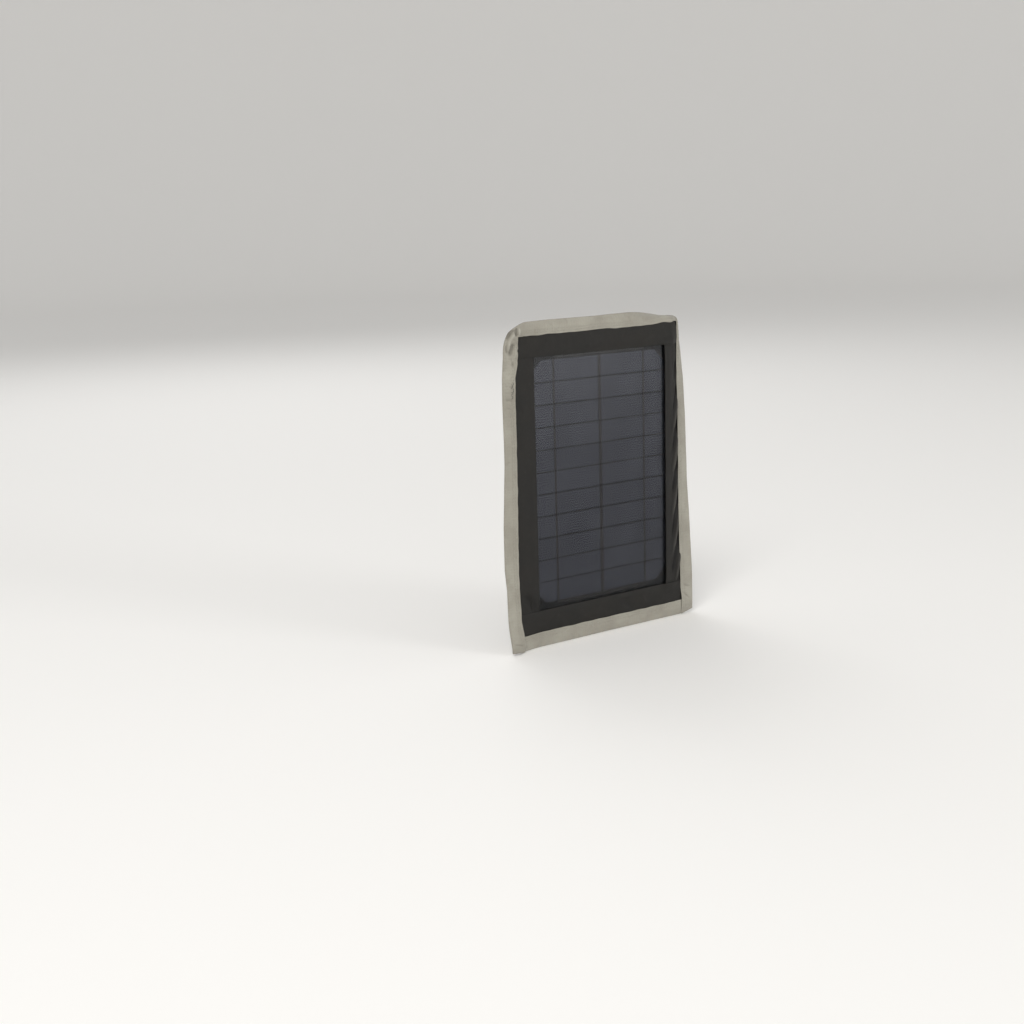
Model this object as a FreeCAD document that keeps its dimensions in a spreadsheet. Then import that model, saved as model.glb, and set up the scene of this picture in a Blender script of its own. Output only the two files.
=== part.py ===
import FreeCAD, Part

import os
import re

import Sketcher

# A soft-framed solar panel that hangs from a bag.  Millimetres, +Z up, +X to the right as seen
# from the front, and the front faces -Y.  The origin is the centre of the outer face of the upper
# strip of hook tape, where the panel is hung.

SIZES = {
    # whole panel
    "panel_wide": 222,
    "panel_high": 300,
    "hook_drop": 34,          # upper hook tape's centre below the top edge
    "corner_round": 28,       # both top corners
    "spare": 1,               # how far a cutting shape runs past what it cuts
    # fabric frame
    "tape_wide": 15,          # what shows of the folded edge tape on each face
    "tape_thick": 0.5,
    "back_thick": 0.5,
    "border_thick": 1.2,
    "margin_top": 33.3,       # outer edge to window
    "margin_bottom": 34.7,
    "window_wide": 150.5,
    "window_shift": -1,
    "seam_inset": 3,          # seam to the tape's inner edge
    "thread_thick": 0.4,
    # hook tape
    "hook_long": 180,
    "hook_wide": 25,
    "hook_thick": 1.5,
    "hook_apart": 232,
    # laminate
    "board_wide": 168,
    "board_high": 244,
    "board_thick": 1,
    "eva_thick": 0.2,
    "film_thick": 0.2,
    "cell_wide": 156,
    "cell_high": 19.5,
    "cell_gap": 0.8,
    "cell_thick": 0.2,
    "cell_shift": -2,
    "cell_rise": 3.35,        # window's top edge to the first cell
    "cell_chamfer": 12.5,
    "busbar_apart": 52,
    "ribbon_wide": 1.6,
    "ribbon_thick": 0.1,
    "bus_high": 2.4,
    "bus_gap": 1,
    # controller box
    "case_wide": 70,
    "case_high": 42,
    "case_drop": 97,          # case's centre below the origin
    "case_deep": 10.5,        # without seal and lid
    "case_wall": 2,
    "case_floor": 1.2,
    "case_round": 4,
    "flange_high": 7,
    "seal_thick": 0.4,
    "seal_wide": 1.2,
    "lid_thick": 1.6,
    "screw_inset": 4.6,
    "post_round": 3,
    "screw_round": 1,
    "screw_head_round": 1.9,
    "screw_head_high": 0.9,
    "screw_long": 6,
    "pipe_round": 1.5,
    "lead_hole_round": 1.5,
    "lead_round": 0.7,
    "lead_apart": 10,
    "lead_drop": 8,
    # circuit board and what is on it
    "pcb_wide": 56,
    "pcb_high": 26,
    "pcb_thick": 1,
    "pcb_lift": 0.9,
    "rest_round": 1.3,
    "can_round": 2.5,
    "can_high": 5.4,
    "can_drop": 8,
    "left_can": -24,
    "right_can": 12,
    # charging socket
    "usb_wide": 13.1,
    "usb_high": 5.7,
    "usb_long": 14,
    "usb_wall": 0.3,
    "usb_block_long": 4,
    "tongue_wide": 11.1,
    "tongue_thick": 1.84,
    "tongue_lift": 0.95,
    "tongue_inset": 1,
    "contact_inset": 1.5,
    "contact_wide": 1,
    "contact_apart": 2.4,
    "contact_thick": 0.15,
    # port cover
    "port_wide": 16,
    "port_high": 7.4,
    "plug_gap": 0.6,
    "plug_long": 1.8,
    "cover_wide": 20,
    "cover_high": 10.4,
    "cover_thick": 2,
    "cover_gap": 0.2,
    "hinge_out": 2,
    "hinge_rise": 11.4,
    "hinge_round": 1.6,
    "pin_round": 0.6,
    "pin_gap": 0.08,
    "ear_span": 7.1,
    "ear_thick": 1.6,
    "ear_gap": 0.3,
    # flap
    "flap_wide": 92,
    "flap_thick": 0.8,
    "flap_seam_drop": 62,
    "flap_rise": 12,          # height over which the flap climbs over the case
    "flap_gap": 0.4,
    "flap_end": 17,
    "patch_wide": 70,
    "patch_high": 14,
    "patch_thick": 1.2,
    "patch_hook_thick": 0.8,
    "patch_gap": 0.3,
    "patch_inset": 1,
}
CELL_COUNT = 11
# components on the circuit board: wide, high, how far they stand out, and x and z of the middle
COMPONENTS = {
    "inductor": (7, 7, 4, 3, 5),
    "regulator_chip": (5, 4, 1.5, -8, 4),
    "blocking_diode": (4.5, 2.6, 2.2, -14, -9),
    "status_led": (2, 1.2, 0.8, -17.5, 0),
}
for part_name, part_sizes in COMPONENTS.items():
    for word, value in zip(("wide", "high", "deep", "right", "up"), part_sizes):
        SIZES[f"{part_name}_{word}"] = value

doc = FreeCAD.newDocument("solar_panel")
sheet = doc.addObject("Spreadsheet::Sheet", "Sizes")
for row, (alias, value) in enumerate(SIZES.items(), start=1):
    sheet.set(f"A{row}", alias)
    sheet.set(f"B{row}", str(value))
    sheet.setAlias(f"B{row}", alias)
doc.recompute()

subparts = []


# ---------------------------------------------------------------- helpers
def expr(formula):
    """A formula of sheet names, written as an expression on the Sizes sheet."""
    return re.sub(r"[a-z]\w*", lambda word: f"Sizes.{word.group()}", str(formula))


def bind(thing, prop, formula):
    thing.setExpression(prop, expr(formula))


def minus(high, low):
    return f"({high}) - ({low})"


def subpart(thing, label):
    """Mark a finished object as the sub-part that is written under this label."""
    thing.Label = label
    subparts.append(thing)
    return thing


def block(name, x, y, z):
    """A box between two x, two y and two z formulas."""
    box = doc.addObject("Part::Box", name)
    for prop, axis, (low, high) in zip(("Length", "Width", "Height"), "xyz", (x, y, z)):
        bind(box, prop, minus(high, low))
        bind(box, f"Placement.Base.{axis}", low)
    return box


def rod(name, radius, length, x, y, z, towards=(0, 1, 0)):
    """A cylinder from a point, towards a direction."""
    cylinder = doc.addObject("Part::Cylinder", name)
    bind(cylinder, "Radius", radius)
    bind(cylinder, "Height", length)
    turn = FreeCAD.Rotation(FreeCAD.Vector(0, 0, 1), FreeCAD.Vector(*towards))
    cylinder.Placement = FreeCAD.Placement(FreeCAD.Vector(), turn)
    for axis, formula in zip("xyz", (x, y, z)):
        bind(cylinder, f"Placement.Base.{axis}", formula)
    return cylinder


def polygon(sketch, points):
    """A closed outline whose corners are fixed by pairs of formulas."""
    first = sketch.GeometryCount
    total = len(points)
    for number in range(total):
        start = FreeCAD.Vector(number, number * number, 0)
        finish = FreeCAD.Vector(number + 1, (number + 1) ** 2, 0)
        sketch.addGeometry(Part.LineSegment(start, finish), False)
    for number in range(total):
        after = first + (number + 1) % total
        sketch.addConstraint(Sketcher.Constraint("Coincident", first + number, 2, after, 1))
    for number, corner in enumerate(points):
        for kind, formula in zip(("DistanceX", "DistanceY"), corner):
            rule = Sketcher.Constraint(kind, -1, 1, first + number, 1, 1.0)
            index = sketch.addConstraint(rule)
            bind(sketch, f"Constraints[{index}]", formula)


def sketch_on(body, role):
    plane = next(item for item in body.Origin.OriginFeatures if item.Role == role)
    sketch = body.newObject("Sketcher::SketchObject", f"{body.Name}_outline")
    sketch.AttachmentSupport = [(plane, "")]
    sketch.MapMode = "FlatFace"
    return sketch


def plate(name, outline, back, front, holes=()):
    """A flat piece: an outline in X and Z, from its back's y forward to its front's y."""
    body = doc.addObject("PartDesign::Body", name)
    sketch = sketch_on(body, "XZ_Plane")
    for points in (outline, *holes):
        polygon(sketch, points)
    pad = body.newObject("PartDesign::Pad", f"{name}_pad")
    pad.Profile = sketch
    bind(pad, "Length", minus(back, front))
    bind(body, "Placement.Base.y", back)
    return body


def strip(name, outline, left, right):
    """A piece of one section: an outline in Y and Z, from its left x to its right x."""
    body = doc.addObject("PartDesign::Body", name)
    sketch = sketch_on(body, "YZ_Plane")
    polygon(sketch, outline)
    pad = body.newObject("PartDesign::Pad", f"{name}_pad")
    pad.Profile = sketch
    bind(pad, "Length", minus(right, left))
    bind(body, "Placement.Base.x", left)
    return body


def rounded(body, radius, chosen):
    """Round the front-to-back edges of a plate whose (x, z) the test chooses."""
    doc.recompute()
    names = []
    for number, edge in enumerate(body.Tip.Shape.Edges, start=1):
        start, finish = (vertex.Point for vertex in edge.Vertexes)
        if abs(start.y - finish.y) > abs(start.x - finish.x) + abs(start.z - finish.z):
            if chosen(start.x, start.z):
                names.append(f"Edge{number}")
    base = body.Tip
    fillet = body.newObject("PartDesign::Fillet", f"{body.Name}_round{len(body.Group)}")
    fillet.Base = (base, names)
    bind(fillet, "Radius", radius)
    return body


def cut(name, base, *tools):
    """A shape less one or more others."""
    result = doc.addObject("Part::Cut", name)
    result.Base = base
    result.Tool = tools[0] if len(tools) == 1 else group(f"{name}_tools", *tools)
    return result


def fuse(name, *pieces):
    result = doc.addObject("Part::MultiFuse", name)
    result.Shapes = list(pieces)
    return result


def group(name, *pieces):
    """Separate solids that share one node."""
    result = doc.addObject("Part::Compound", name)
    result.Links = list(pieces)
    return result


def rectangle(left, right, bottom, top):
    return [(left, bottom), (right, bottom), (right, top), (left, top)]


def everywhere(x, z):
    return True


# ---------------------------------------------------------------- shared places
TOP = "hook_drop"
BOTTOM = "(hook_drop - panel_high)"
SIDE = "panel_wide / 2"
CLOTH_SIDE = "(panel_wide / 2 - tape_thick)"
CLOTH_TOP = "(hook_drop - tape_thick)"
CLOTH_BOTTOM = "(hook_drop - panel_high + tape_thick)"
CLOTH_ROUND = "(corner_round - tape_thick)"
INSIDE = "(panel_wide / 2 - tape_wide)"
WINDOW_LEFT = "(window_shift - window_wide / 2)"
WINDOW_RIGHT = "(window_shift + window_wide / 2)"
WINDOW_TOP = "(hook_drop - margin_top)"
WINDOW_BOTTOM = "(hook_drop - panel_high + margin_bottom)"

# layers, from the back forward; each name is the y of that layer's back face
CLOTH_BACK = "(0 - hook_thick)"
BOARD_BACK = "(0 - hook_thick - back_thick)"
REAR_EVA_BACK = f"({BOARD_BACK} - board_thick)"
CELL_BACK = f"({REAR_EVA_BACK} - eva_thick)"
FRONT_EVA_BACK = f"({CELL_BACK} - cell_thick)"
FILM_BACK = f"({FRONT_EVA_BACK} - eva_thick)"
BORDER_BACK = f"({FILM_BACK} - film_thick)"
BORDER_FRONT = f"({BORDER_BACK} - border_thick)"
TAPE_BACK = f"({CLOTH_BACK} + tape_thick)"
TAPE_FRONT = f"({BORDER_FRONT} - tape_thick)"

BOARD_LEFT = "(cell_shift - board_wide / 2)"
BOARD_RIGHT = "(cell_shift + board_wide / 2)"
BOARD_MIDDLE = f"(({WINDOW_TOP} + {WINDOW_BOTTOM}) / 2)"
BOARD_TOP = f"({BOARD_MIDDLE} + board_high / 2)"
BOARD_BOTTOM = f"({BOARD_MIDDLE} - board_high / 2)"
CELL_LEFT = "(cell_shift - cell_wide / 2)"
CELL_RIGHT = "(cell_shift + cell_wide / 2)"
CELLS_TOP = f"({WINDOW_TOP} - cell_rise)"
CELL_PITCH = "(cell_high + cell_gap)"
CELLS_BOTTOM = f"({CELLS_TOP} - {CELL_COUNT} * {CELL_PITCH} + cell_gap)"

CASE_MIDDLE = "(0 - case_drop)"
CASE_TOP = "(case_high / 2 - case_drop)"
CASE_BOTTOM = "(0 - case_high / 2 - case_drop)"
FLOOR_TOP = f"({CLOTH_BACK} + case_floor)"
CASE_RIM = f"({CLOTH_BACK} + case_deep)"
LID_BACK = f"({CASE_RIM} + seal_thick)"
LID_FACE = f"({LID_BACK} + lid_thick)"
LEAD_LEVEL = f"({CASE_MIDDLE} - lead_drop)"

PCB_LOW = f"({FLOOR_TOP} + pcb_lift)"
PCB_HIGH = f"({PCB_LOW} + pcb_thick)"
USB_MIDDLE = f"({PCB_HIGH} + usb_high / 2)"
WALL_IN = "(case_wide / 2 - case_wall)"
WALL_OUT = "(case_wide / 2)"

HINGE_X = f"({WALL_OUT} + hinge_out)"
HINGE_Z = f"({CASE_MIDDLE} + hinge_rise)"
COVER_FRONT = f"({USB_MIDDLE} - cover_high / 2)"
COVER_REAR = f"({USB_MIDDLE} + cover_high / 2)"
EAR_FRONT = f"({USB_MIDDLE} - ear_span / 2)"
EAR_REAR = f"({USB_MIDDLE} + ear_span / 2 - ear_thick)"

PIPE_X = "status_led_right"
HEAD_LOW = f"({LID_FACE} - screw_head_high)"

FLAP_TOP = "(0 - flap_seam_drop)"
FLAP_OVER = f"({LID_FACE} + flap_gap)"
FLAP_LOW = f"({CLOTH_BACK} + patch_thick + patch_gap + patch_hook_thick)"
FLAP_START = f"({CLOTH_BACK} + patch_gap)"
FLAP_SHOULDER = f"({FLAP_TOP} - flap_rise)"
FLAP_KNEE = f"({CASE_BOTTOM} - flap_gap - flap_thick)"
FLAP_FOOT = f"({FLAP_KNEE} - flap_rise)"
FLAP_TIP = f"({FLAP_FOOT} - flap_end)"


def top_corners(x, z):
    """The two outer corners at the top, and not a tape's inner ones."""
    return z > SIZES["hook_drop"] - 1 and abs(x) > SIZES["panel_wide"] / 4


def top_corners_of_seam(x, z):
    return z > 0


# ---------------------------------------------------------------- fabric frame
def make_cloths():
    """Back fabric, the foam that levels it with the laminate, and the four front strips."""
    outline = rectangle(f"0 - {CLOTH_SIDE}", CLOTH_SIDE, CLOTH_BOTTOM, CLOTH_TOP)
    lead_slot = rectangle(
        "0 - lead_apart / 2 - lead_hole_round",
        "lead_apart / 2 + lead_hole_round",
        f"{LEAD_LEVEL} - lead_hole_round",
        f"{LEAD_LEVEL} + lead_hole_round",
    )
    back = plate("BackFabric", outline, CLOTH_BACK, BOARD_BACK, [lead_slot])
    subpart(rounded(back, CLOTH_ROUND, top_corners), "back_fabric")

    board = rectangle(BOARD_LEFT, BOARD_RIGHT, BOARD_BOTTOM, BOARD_TOP)
    foam = plate("FoamFrame", outline, BOARD_BACK, BORDER_BACK, [board])
    subpart(rounded(foam, CLOTH_ROUND, top_corners), "foam_frame")

    strips = {
        "border_top": (f"0 - {CLOTH_SIDE}", CLOTH_SIDE, WINDOW_TOP, CLOTH_TOP),
        "border_bottom": (f"0 - {CLOTH_SIDE}", CLOTH_SIDE, CLOTH_BOTTOM, WINDOW_BOTTOM),
        "border_left": (f"0 - {CLOTH_SIDE}", WINDOW_LEFT, WINDOW_BOTTOM, WINDOW_TOP),
        "border_right": (WINDOW_RIGHT, CLOTH_SIDE, WINDOW_BOTTOM, WINDOW_TOP),
    }
    for label, edges in strips.items():
        body = plate(f"{label}_body", rectangle(*edges), BORDER_BACK, BORDER_FRONT)
        if label == "border_top":
            rounded(body, CLOTH_ROUND, top_corners)
        subpart(body, label)


def make_binding():
    """The edge tape, folded round the edge: one length over the top, one along the bottom."""
    arch = [
        (f"0 - {SIDE}", BOTTOM),
        (f"0 - {SIDE}", TOP),
        (SIDE, TOP),
        (SIDE, BOTTOM),
        (INSIDE, BOTTOM),
        (INSIDE, f"{TOP} - tape_wide"),
        (f"0 - {INSIDE}", f"{TOP} - tape_wide"),
        (f"0 - {INSIDE}", BOTTOM),
    ]
    band = rounded(plate("ArchBand", arch, TAPE_BACK, TAPE_FRONT), "corner_round", top_corners)
    fold = rectangle(f"0 - {CLOTH_SIDE}", CLOTH_SIDE, f"{BOTTOM} - tape_wide", CLOTH_TOP)
    gap = rounded(plate("ArchGap", fold, CLOTH_BACK, BORDER_FRONT), CLOTH_ROUND, top_corners)
    subpart(cut("ArchTape", band, gap), "edge_binding_upper")

    lower = block(
        "LowerBand",
        (f"0 - {INSIDE}", INSIDE),
        (TAPE_FRONT, TAPE_BACK),
        (BOTTOM, f"{BOTTOM} + tape_wide"),
    )
    lower_gap = block(
        "LowerGap",
        (f"0 - {SIDE}", SIDE),
        (BORDER_FRONT, CLOTH_BACK),
        (CLOTH_BOTTOM, f"{BOTTOM} + 2 * tape_wide"),
    )
    subpart(cut("LowerTape", lower, lower_gap), "edge_binding_bottom")


def make_thread():
    """The seam through the edge tape: a line of thread on each face."""
    line_out = f"({SIDE} - tape_wide + seam_inset)"
    line_in = f"({line_out} - thread_thick)"
    top_out = f"({TOP} - tape_wide + seam_inset)"
    low_out = f"({BOTTOM} + tape_wide - seam_inset)"
    seam_round = "corner_round - tape_wide + seam_inset"
    outer = rectangle(f"0 - {line_out}", line_out, low_out, top_out)
    inner = rectangle(
        f"0 - {line_in}", line_in, f"{low_out} + thread_thick", f"{top_out} - thread_thick"
    )
    lines = []
    for name, back in (("FrontSeam", TAPE_FRONT), ("BackSeam", f"{TAPE_BACK} + thread_thick")):
        line = plate(name, outer, back, f"{back} - thread_thick", [inner])
        lines.append(rounded(line, seam_round, top_corners_of_seam))
    subpart(group("BindingThread", *lines), "binding_thread")


def make_hook_tapes():
    for label, drop in (("hook_tape_upper", "0"), ("hook_tape_lower", "hook_apart")):
        tape = block(
            f"{label}_box",
            ("0 - hook_long / 2", "hook_long / 2"),
            (CLOTH_BACK, "0"),
            (f"0 - {drop} - hook_wide / 2", f"hook_wide / 2 - {drop}"),
        )
        subpart(tape, label)


# ---------------------------------------------------------------- laminate
def busbar_x(number):
    return f"(cell_shift + {number} * busbar_apart)"


def channels(name, back, bus_low, bus_high):
    """Room for three ribbons and a cross ribbon on one side of an encapsulant sheet."""
    pieces = []
    for number in (-1, 0, 1):
        middle = busbar_x(number)
        pieces.append(block(
            f"{name}_channel{number + 1}",
            (f"{middle} - ribbon_wide / 2", f"{middle} + ribbon_wide / 2"),
            (f"{back} - ribbon_thick", back),
            (f"{CELLS_BOTTOM} - bus_gap - bus_high", f"{CELLS_TOP} + bus_gap + bus_high"),
        ))
    pieces.append(block(
        f"{name}_cross",
        (f"{busbar_x(-1)} - ribbon_wide / 2", f"{busbar_x(1)} + ribbon_wide / 2"),
        (f"{back} - ribbon_thick", back),
        (bus_low, bus_high),
    ))
    return fuse(f"{name}_room", *pieces)


def make_sheets():
    """Board, two encapsulant sheets and the clear front film."""
    outline = rectangle(BOARD_LEFT, BOARD_RIGHT, BOARD_BOTTOM, BOARD_TOP)
    x = (BOARD_LEFT, BOARD_RIGHT)
    z = (BOARD_BOTTOM, BOARD_TOP)
    subpart(plate("Board", outline, BOARD_BACK, REAR_EVA_BACK), "backsheet_board")

    rear = block("RearSheet", x, (CELL_BACK, REAR_EVA_BACK), z)
    room = channels(
        "Rear",
        f"({CELL_BACK} + ribbon_thick)",
        f"{CELLS_TOP} + bus_gap",
        f"{CELLS_TOP} + bus_gap + bus_high",
    )
    subpart(cut("RearEncapsulant", rear, room), "rear_encapsulant")

    front = block("FrontSheet", x, (FILM_BACK, FRONT_EVA_BACK), z)
    room = channels(
        "Front",
        FRONT_EVA_BACK,
        f"{CELLS_BOTTOM} - bus_gap - bus_high",
        f"{CELLS_BOTTOM} - bus_gap",
    )
    subpart(cut("FrontEncapsulant", front, room), "front_encapsulant")
    subpart(block("FrontFilm", x, (BORDER_BACK, FILM_BACK), z), "front_film")


def make_cells():
    """Eleven strips cut from square wafers; the end strips keep the wafer's cut corners."""
    for number in range(CELL_COUNT):
        high = f"({CELLS_TOP} - {number} * {CELL_PITCH})"
        low = f"({high} - cell_high)"
        outline = rectangle(CELL_LEFT, CELL_RIGHT, low, high)
        if number == 0:
            outline[2:] = [
                (CELL_RIGHT, f"{high} - cell_chamfer"),
                (f"{CELL_RIGHT} - cell_chamfer", high),
                (f"{CELL_LEFT} + cell_chamfer", high),
                (CELL_LEFT, f"{high} - cell_chamfer"),
            ]
        if number == CELL_COUNT - 1:
            outline[:2] = [
                (CELL_LEFT, f"{low} + cell_chamfer"),
                (f"{CELL_LEFT} + cell_chamfer", low),
                (f"{CELL_RIGHT} - cell_chamfer", low),
                (CELL_RIGHT, f"{low} + cell_chamfer"),
            ]
        cell = plate(f"Cell{number + 1}", outline, CELL_BACK, FRONT_EVA_BACK)
        subpart(cell, f"cell_{number + 1:02d}")


def make_ribbons():
    """Each ribbon runs down a cell's face, through the gap and down the next cell's back."""
    front = f"({FRONT_EVA_BACK} - ribbon_thick)"
    rear = f"({CELL_BACK} + ribbon_thick)"
    bend = f"({CELLS_TOP} - cell_high - cell_gap / 2)"
    section = [
        (front, CELLS_TOP),
        (FRONT_EVA_BACK, CELLS_TOP),
        (FRONT_EVA_BACK, f"{bend} + ribbon_thick"),
        (rear, f"{bend} + ribbon_thick"),
        (rear, f"{CELLS_TOP} - {CELL_PITCH} - cell_high"),
        (CELL_BACK, f"{CELLS_TOP} - {CELL_PITCH} - cell_high"),
        (CELL_BACK, bend),
        (front, bend),
    ]
    for number, side in ((-1, "left"), (0, "centre"), (1, "right")):
        middle = busbar_x(number)
        body = strip(
            f"Ribbon_{side}",
            section,
            f"{middle} - ribbon_wide / 2",
            f"{middle} + ribbon_wide / 2",
        )
        base = body.Tip
        doc.recompute()
        pattern = body.newObject("PartDesign::LinearPattern", f"Ribbon_{side}_row")
        pattern.Originals = [base]
        pattern.Direction = (base.Profile[0], ["V_Axis"])
        pattern.Reversed = True
        pattern.Occurrences = CELL_COUNT - 1
        bind(pattern, "Length", f"{CELL_COUNT - 2} * {CELL_PITCH}")
        body.Tip = pattern
        subpart(body, f"cell_ribbons_{side}")


def comb(bus_far, bus_near, tooth_end):
    """A cross ribbon's outline with a tooth along each busbar."""
    points = [
        (f"{busbar_x(-1)} - ribbon_wide / 2", bus_far),
        (f"{busbar_x(-1)} - ribbon_wide / 2", tooth_end),
        (f"{busbar_x(-1)} + ribbon_wide / 2", tooth_end),
        (f"{busbar_x(-1)} + ribbon_wide / 2", bus_near),
    ]
    for number in (0, 1):
        points += [
            (f"{busbar_x(number)} - ribbon_wide / 2", bus_near),
            (f"{busbar_x(number)} - ribbon_wide / 2", tooth_end),
            (f"{busbar_x(number)} + ribbon_wide / 2", tooth_end),
            (f"{busbar_x(number)} + ribbon_wide / 2", bus_near),
        ]
    points[-1] = (f"{busbar_x(1)} + ribbon_wide / 2", bus_far)
    return points


def make_cross_ribbons():
    above = f"{CELLS_TOP} + bus_gap"
    top = comb(f"{above} + bus_high", above, f"{CELLS_TOP} - cell_high")
    rear = f"({CELL_BACK} + ribbon_thick)"
    subpart(plate("TopCross", top, rear, CELL_BACK), "cross_ribbon_top")

    below = f"{CELLS_BOTTOM} - bus_gap"
    bottom = comb(f"{below} - bus_high", below, f"{CELLS_BOTTOM} + cell_high")
    front = f"({FRONT_EVA_BACK} - ribbon_thick)"
    subpart(plate("BottomCross", bottom, FRONT_EVA_BACK, front), "cross_ribbon_bottom")


# ---------------------------------------------------------------- controller box
def corner_rods(name, radius, length, y):
    rods = []
    for right in (-1, 1):
        for up in (-1, 1):
            rods.append(rod(
                f"{name}{right + 1}{up + 1}",
                radius,
                length,
                f"{right} * (case_wide / 2 - screw_inset)",
                y,
                f"{CASE_MIDDLE} + {up} * (case_high / 2 - screw_inset)",
            ))
    return rods


def make_case():
    """A tray with a flange above and below it, screw posts, a port and two hinge ears."""
    walls = plate(
        "CaseWalls",
        rectangle("0 - case_wide / 2", "case_wide / 2", CASE_BOTTOM, CASE_TOP),
        CASE_RIM,
        CLOTH_BACK,
    )
    rounded(walls, "case_round", everywhere)
    flange = plate(
        "CaseFlange",
        rectangle(
            "0 - case_wide / 2",
            "case_wide / 2",
            f"{CASE_BOTTOM} - flange_high",
            f"{CASE_TOP} + flange_high",
        ),
        FLOOR_TOP,
        CLOTH_BACK,
    )
    rounded(flange, "case_round", everywhere)
    room = plate(
        "CaseRoom",
        rectangle(
            f"0 - {WALL_IN}", WALL_IN, f"{CASE_BOTTOM} + case_wall", f"{CASE_TOP} - case_wall"
        ),
        f"{CASE_RIM} + spare",
        FLOOR_TOP,
    )
    rounded(room, "case_round - case_wall", everywhere)
    tray = cut("CaseTray", fuse("CaseSolid", walls, flange), room)
    posts = corner_rods("CasePost", "post_round", minus(CASE_RIM, FLOOR_TOP), FLOOR_TOP)
    rests = []
    for right in (-1, 1):
        rests.append(rod(
            f"PcbRest{right + 1}",
            "rest_round",
            "pcb_lift",
            f"{right} * pcb_wide / 3",
            FLOOR_TOP,
            f"{CASE_MIDDLE} - pcb_high / 3",
        ))
    ears = []
    for name, low in (("EarFront", EAR_FRONT), ("EarRear", EAR_REAR)):
        high = f"({low} + ear_thick)"
        ears.append(rod(f"{name}Round", "hinge_round", "ear_thick", HINGE_X, low, HINGE_Z))
        ears.append(block(
            f"{name}Root",
            (f"{WALL_OUT} - case_wall / 2", HINGE_X),
            (low, high),
            (f"{HINGE_Z} - 0.8 * hinge_round", f"{HINGE_Z} + 0.8 * hinge_round"),
        ))
    port = block(
        "PortHole",
        (f"{WALL_IN} - spare", f"{WALL_OUT} + spare"),
        (f"{USB_MIDDLE} - port_high / 2", f"{USB_MIDDLE} + port_high / 2"),
        (f"{CASE_MIDDLE} - port_wide / 2", f"{CASE_MIDDLE} + port_wide / 2"),
    )
    pin_hole = rod("PinHole", "pin_round", "ear_span", HINGE_X, EAR_FRONT, HINGE_Z)
    lead_holes = []
    for right in (-1, 1):
        lead_holes.append(rod(
            f"LeadHole{right + 1}",
            "lead_hole_round",
            "2 * case_floor",
            f"{right} * lead_apart / 2",
            f"{CLOTH_BACK} - case_floor / 2",
            LEAD_LEVEL,
        ))
    holes = corner_rods("ScrewHole", "screw_round", "screw_long", f"{LID_FACE} - screw_long")
    whole = fuse("CaseWhole", tray, *posts, *rests, *ears)
    subpart(cut("Case", whole, port, pin_hole, *lead_holes, *holes), "case_base")


def make_lid():
    """The lid, with sunk screw holes and a hole for the light pipe."""
    outline = rectangle("0 - case_wide / 2", "case_wide / 2", CASE_BOTTOM, CASE_TOP)
    lid = rounded(plate("LidPlate", outline, LID_FACE, LID_BACK), "case_round", everywhere)
    through = ("2 * lid_thick", f"{LID_BACK} - lid_thick / 2")
    holes = corner_rods("LidHole", "screw_round", *through)
    window = rod("PipeHole", "pipe_round", through[0], PIPE_X, through[1], CASE_MIDDLE)
    heads = corner_rods("LidSink", "screw_head_round", "screw_head_high", HEAD_LOW)
    subpart(cut("Lid", lid, *holes, window, *heads), "case_lid")


def make_seal():
    seal = plate(
        "SealPlate",
        rectangle("0 - case_wide / 2", "case_wide / 2", CASE_BOTTOM, CASE_TOP),
        LID_BACK,
        CASE_RIM,
    )
    rounded(seal, "case_round", everywhere)
    inner = plate(
        "SealRoom",
        rectangle(
            "seal_wide - case_wide / 2",
            "case_wide / 2 - seal_wide",
            f"{CASE_BOTTOM} + seal_wide",
            f"{CASE_TOP} - seal_wide",
        ),
        f"{LID_BACK} + spare",
        f"{CASE_RIM} - spare",
    )
    rounded(inner, "case_round - seal_wide", everywhere)
    subpart(cut("Seal", seal, inner), "lid_seal")


def make_screws():
    shanks = corner_rods("Shank", "screw_round", "screw_long", f"{LID_FACE} - screw_long")
    caps = corner_rods("ScrewHead", "screw_head_round", "screw_head_high", HEAD_LOW)
    drive_low = f"{LID_FACE} - screw_head_high / 2"
    slots = corner_rods("ScrewDrive", "screw_round", "screw_head_high", drive_low)
    screws = []
    for number, (shank, cap, drive) in enumerate(zip(shanks, caps, slots)):
        screws.append(cut(f"Screw{number}", fuse(f"ScrewSolid{number}", shank, cap), drive))
    subpart(group("LidScrews", *screws), "lid_screws")


def make_light_pipe():
    """A clear rod from just above the lamp to the lid's face."""
    low = f"({PCB_HIGH} + 1.25 * status_led_deep)"
    pipe = rod("PipeRod", "pipe_round", minus(LID_FACE, low), PIPE_X, low, CASE_MIDDLE)
    subpart(pipe, "light_pipe")


def make_components():
    """The rectangular components that stand on the circuit board."""
    for label in COMPONENTS:
        x, z = f"{label}_right", f"({CASE_MIDDLE} + {label}_up)"
        part = block(
            f"{label}_box",
            (f"{x} - {label}_wide / 2", f"{x} + {label}_wide / 2"),
            (PCB_HIGH, f"{PCB_HIGH} + {label}_deep"),
            (f"{z} - {label}_high / 2", f"{z} + {label}_high / 2"),
        )
        subpart(part, label)


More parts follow.
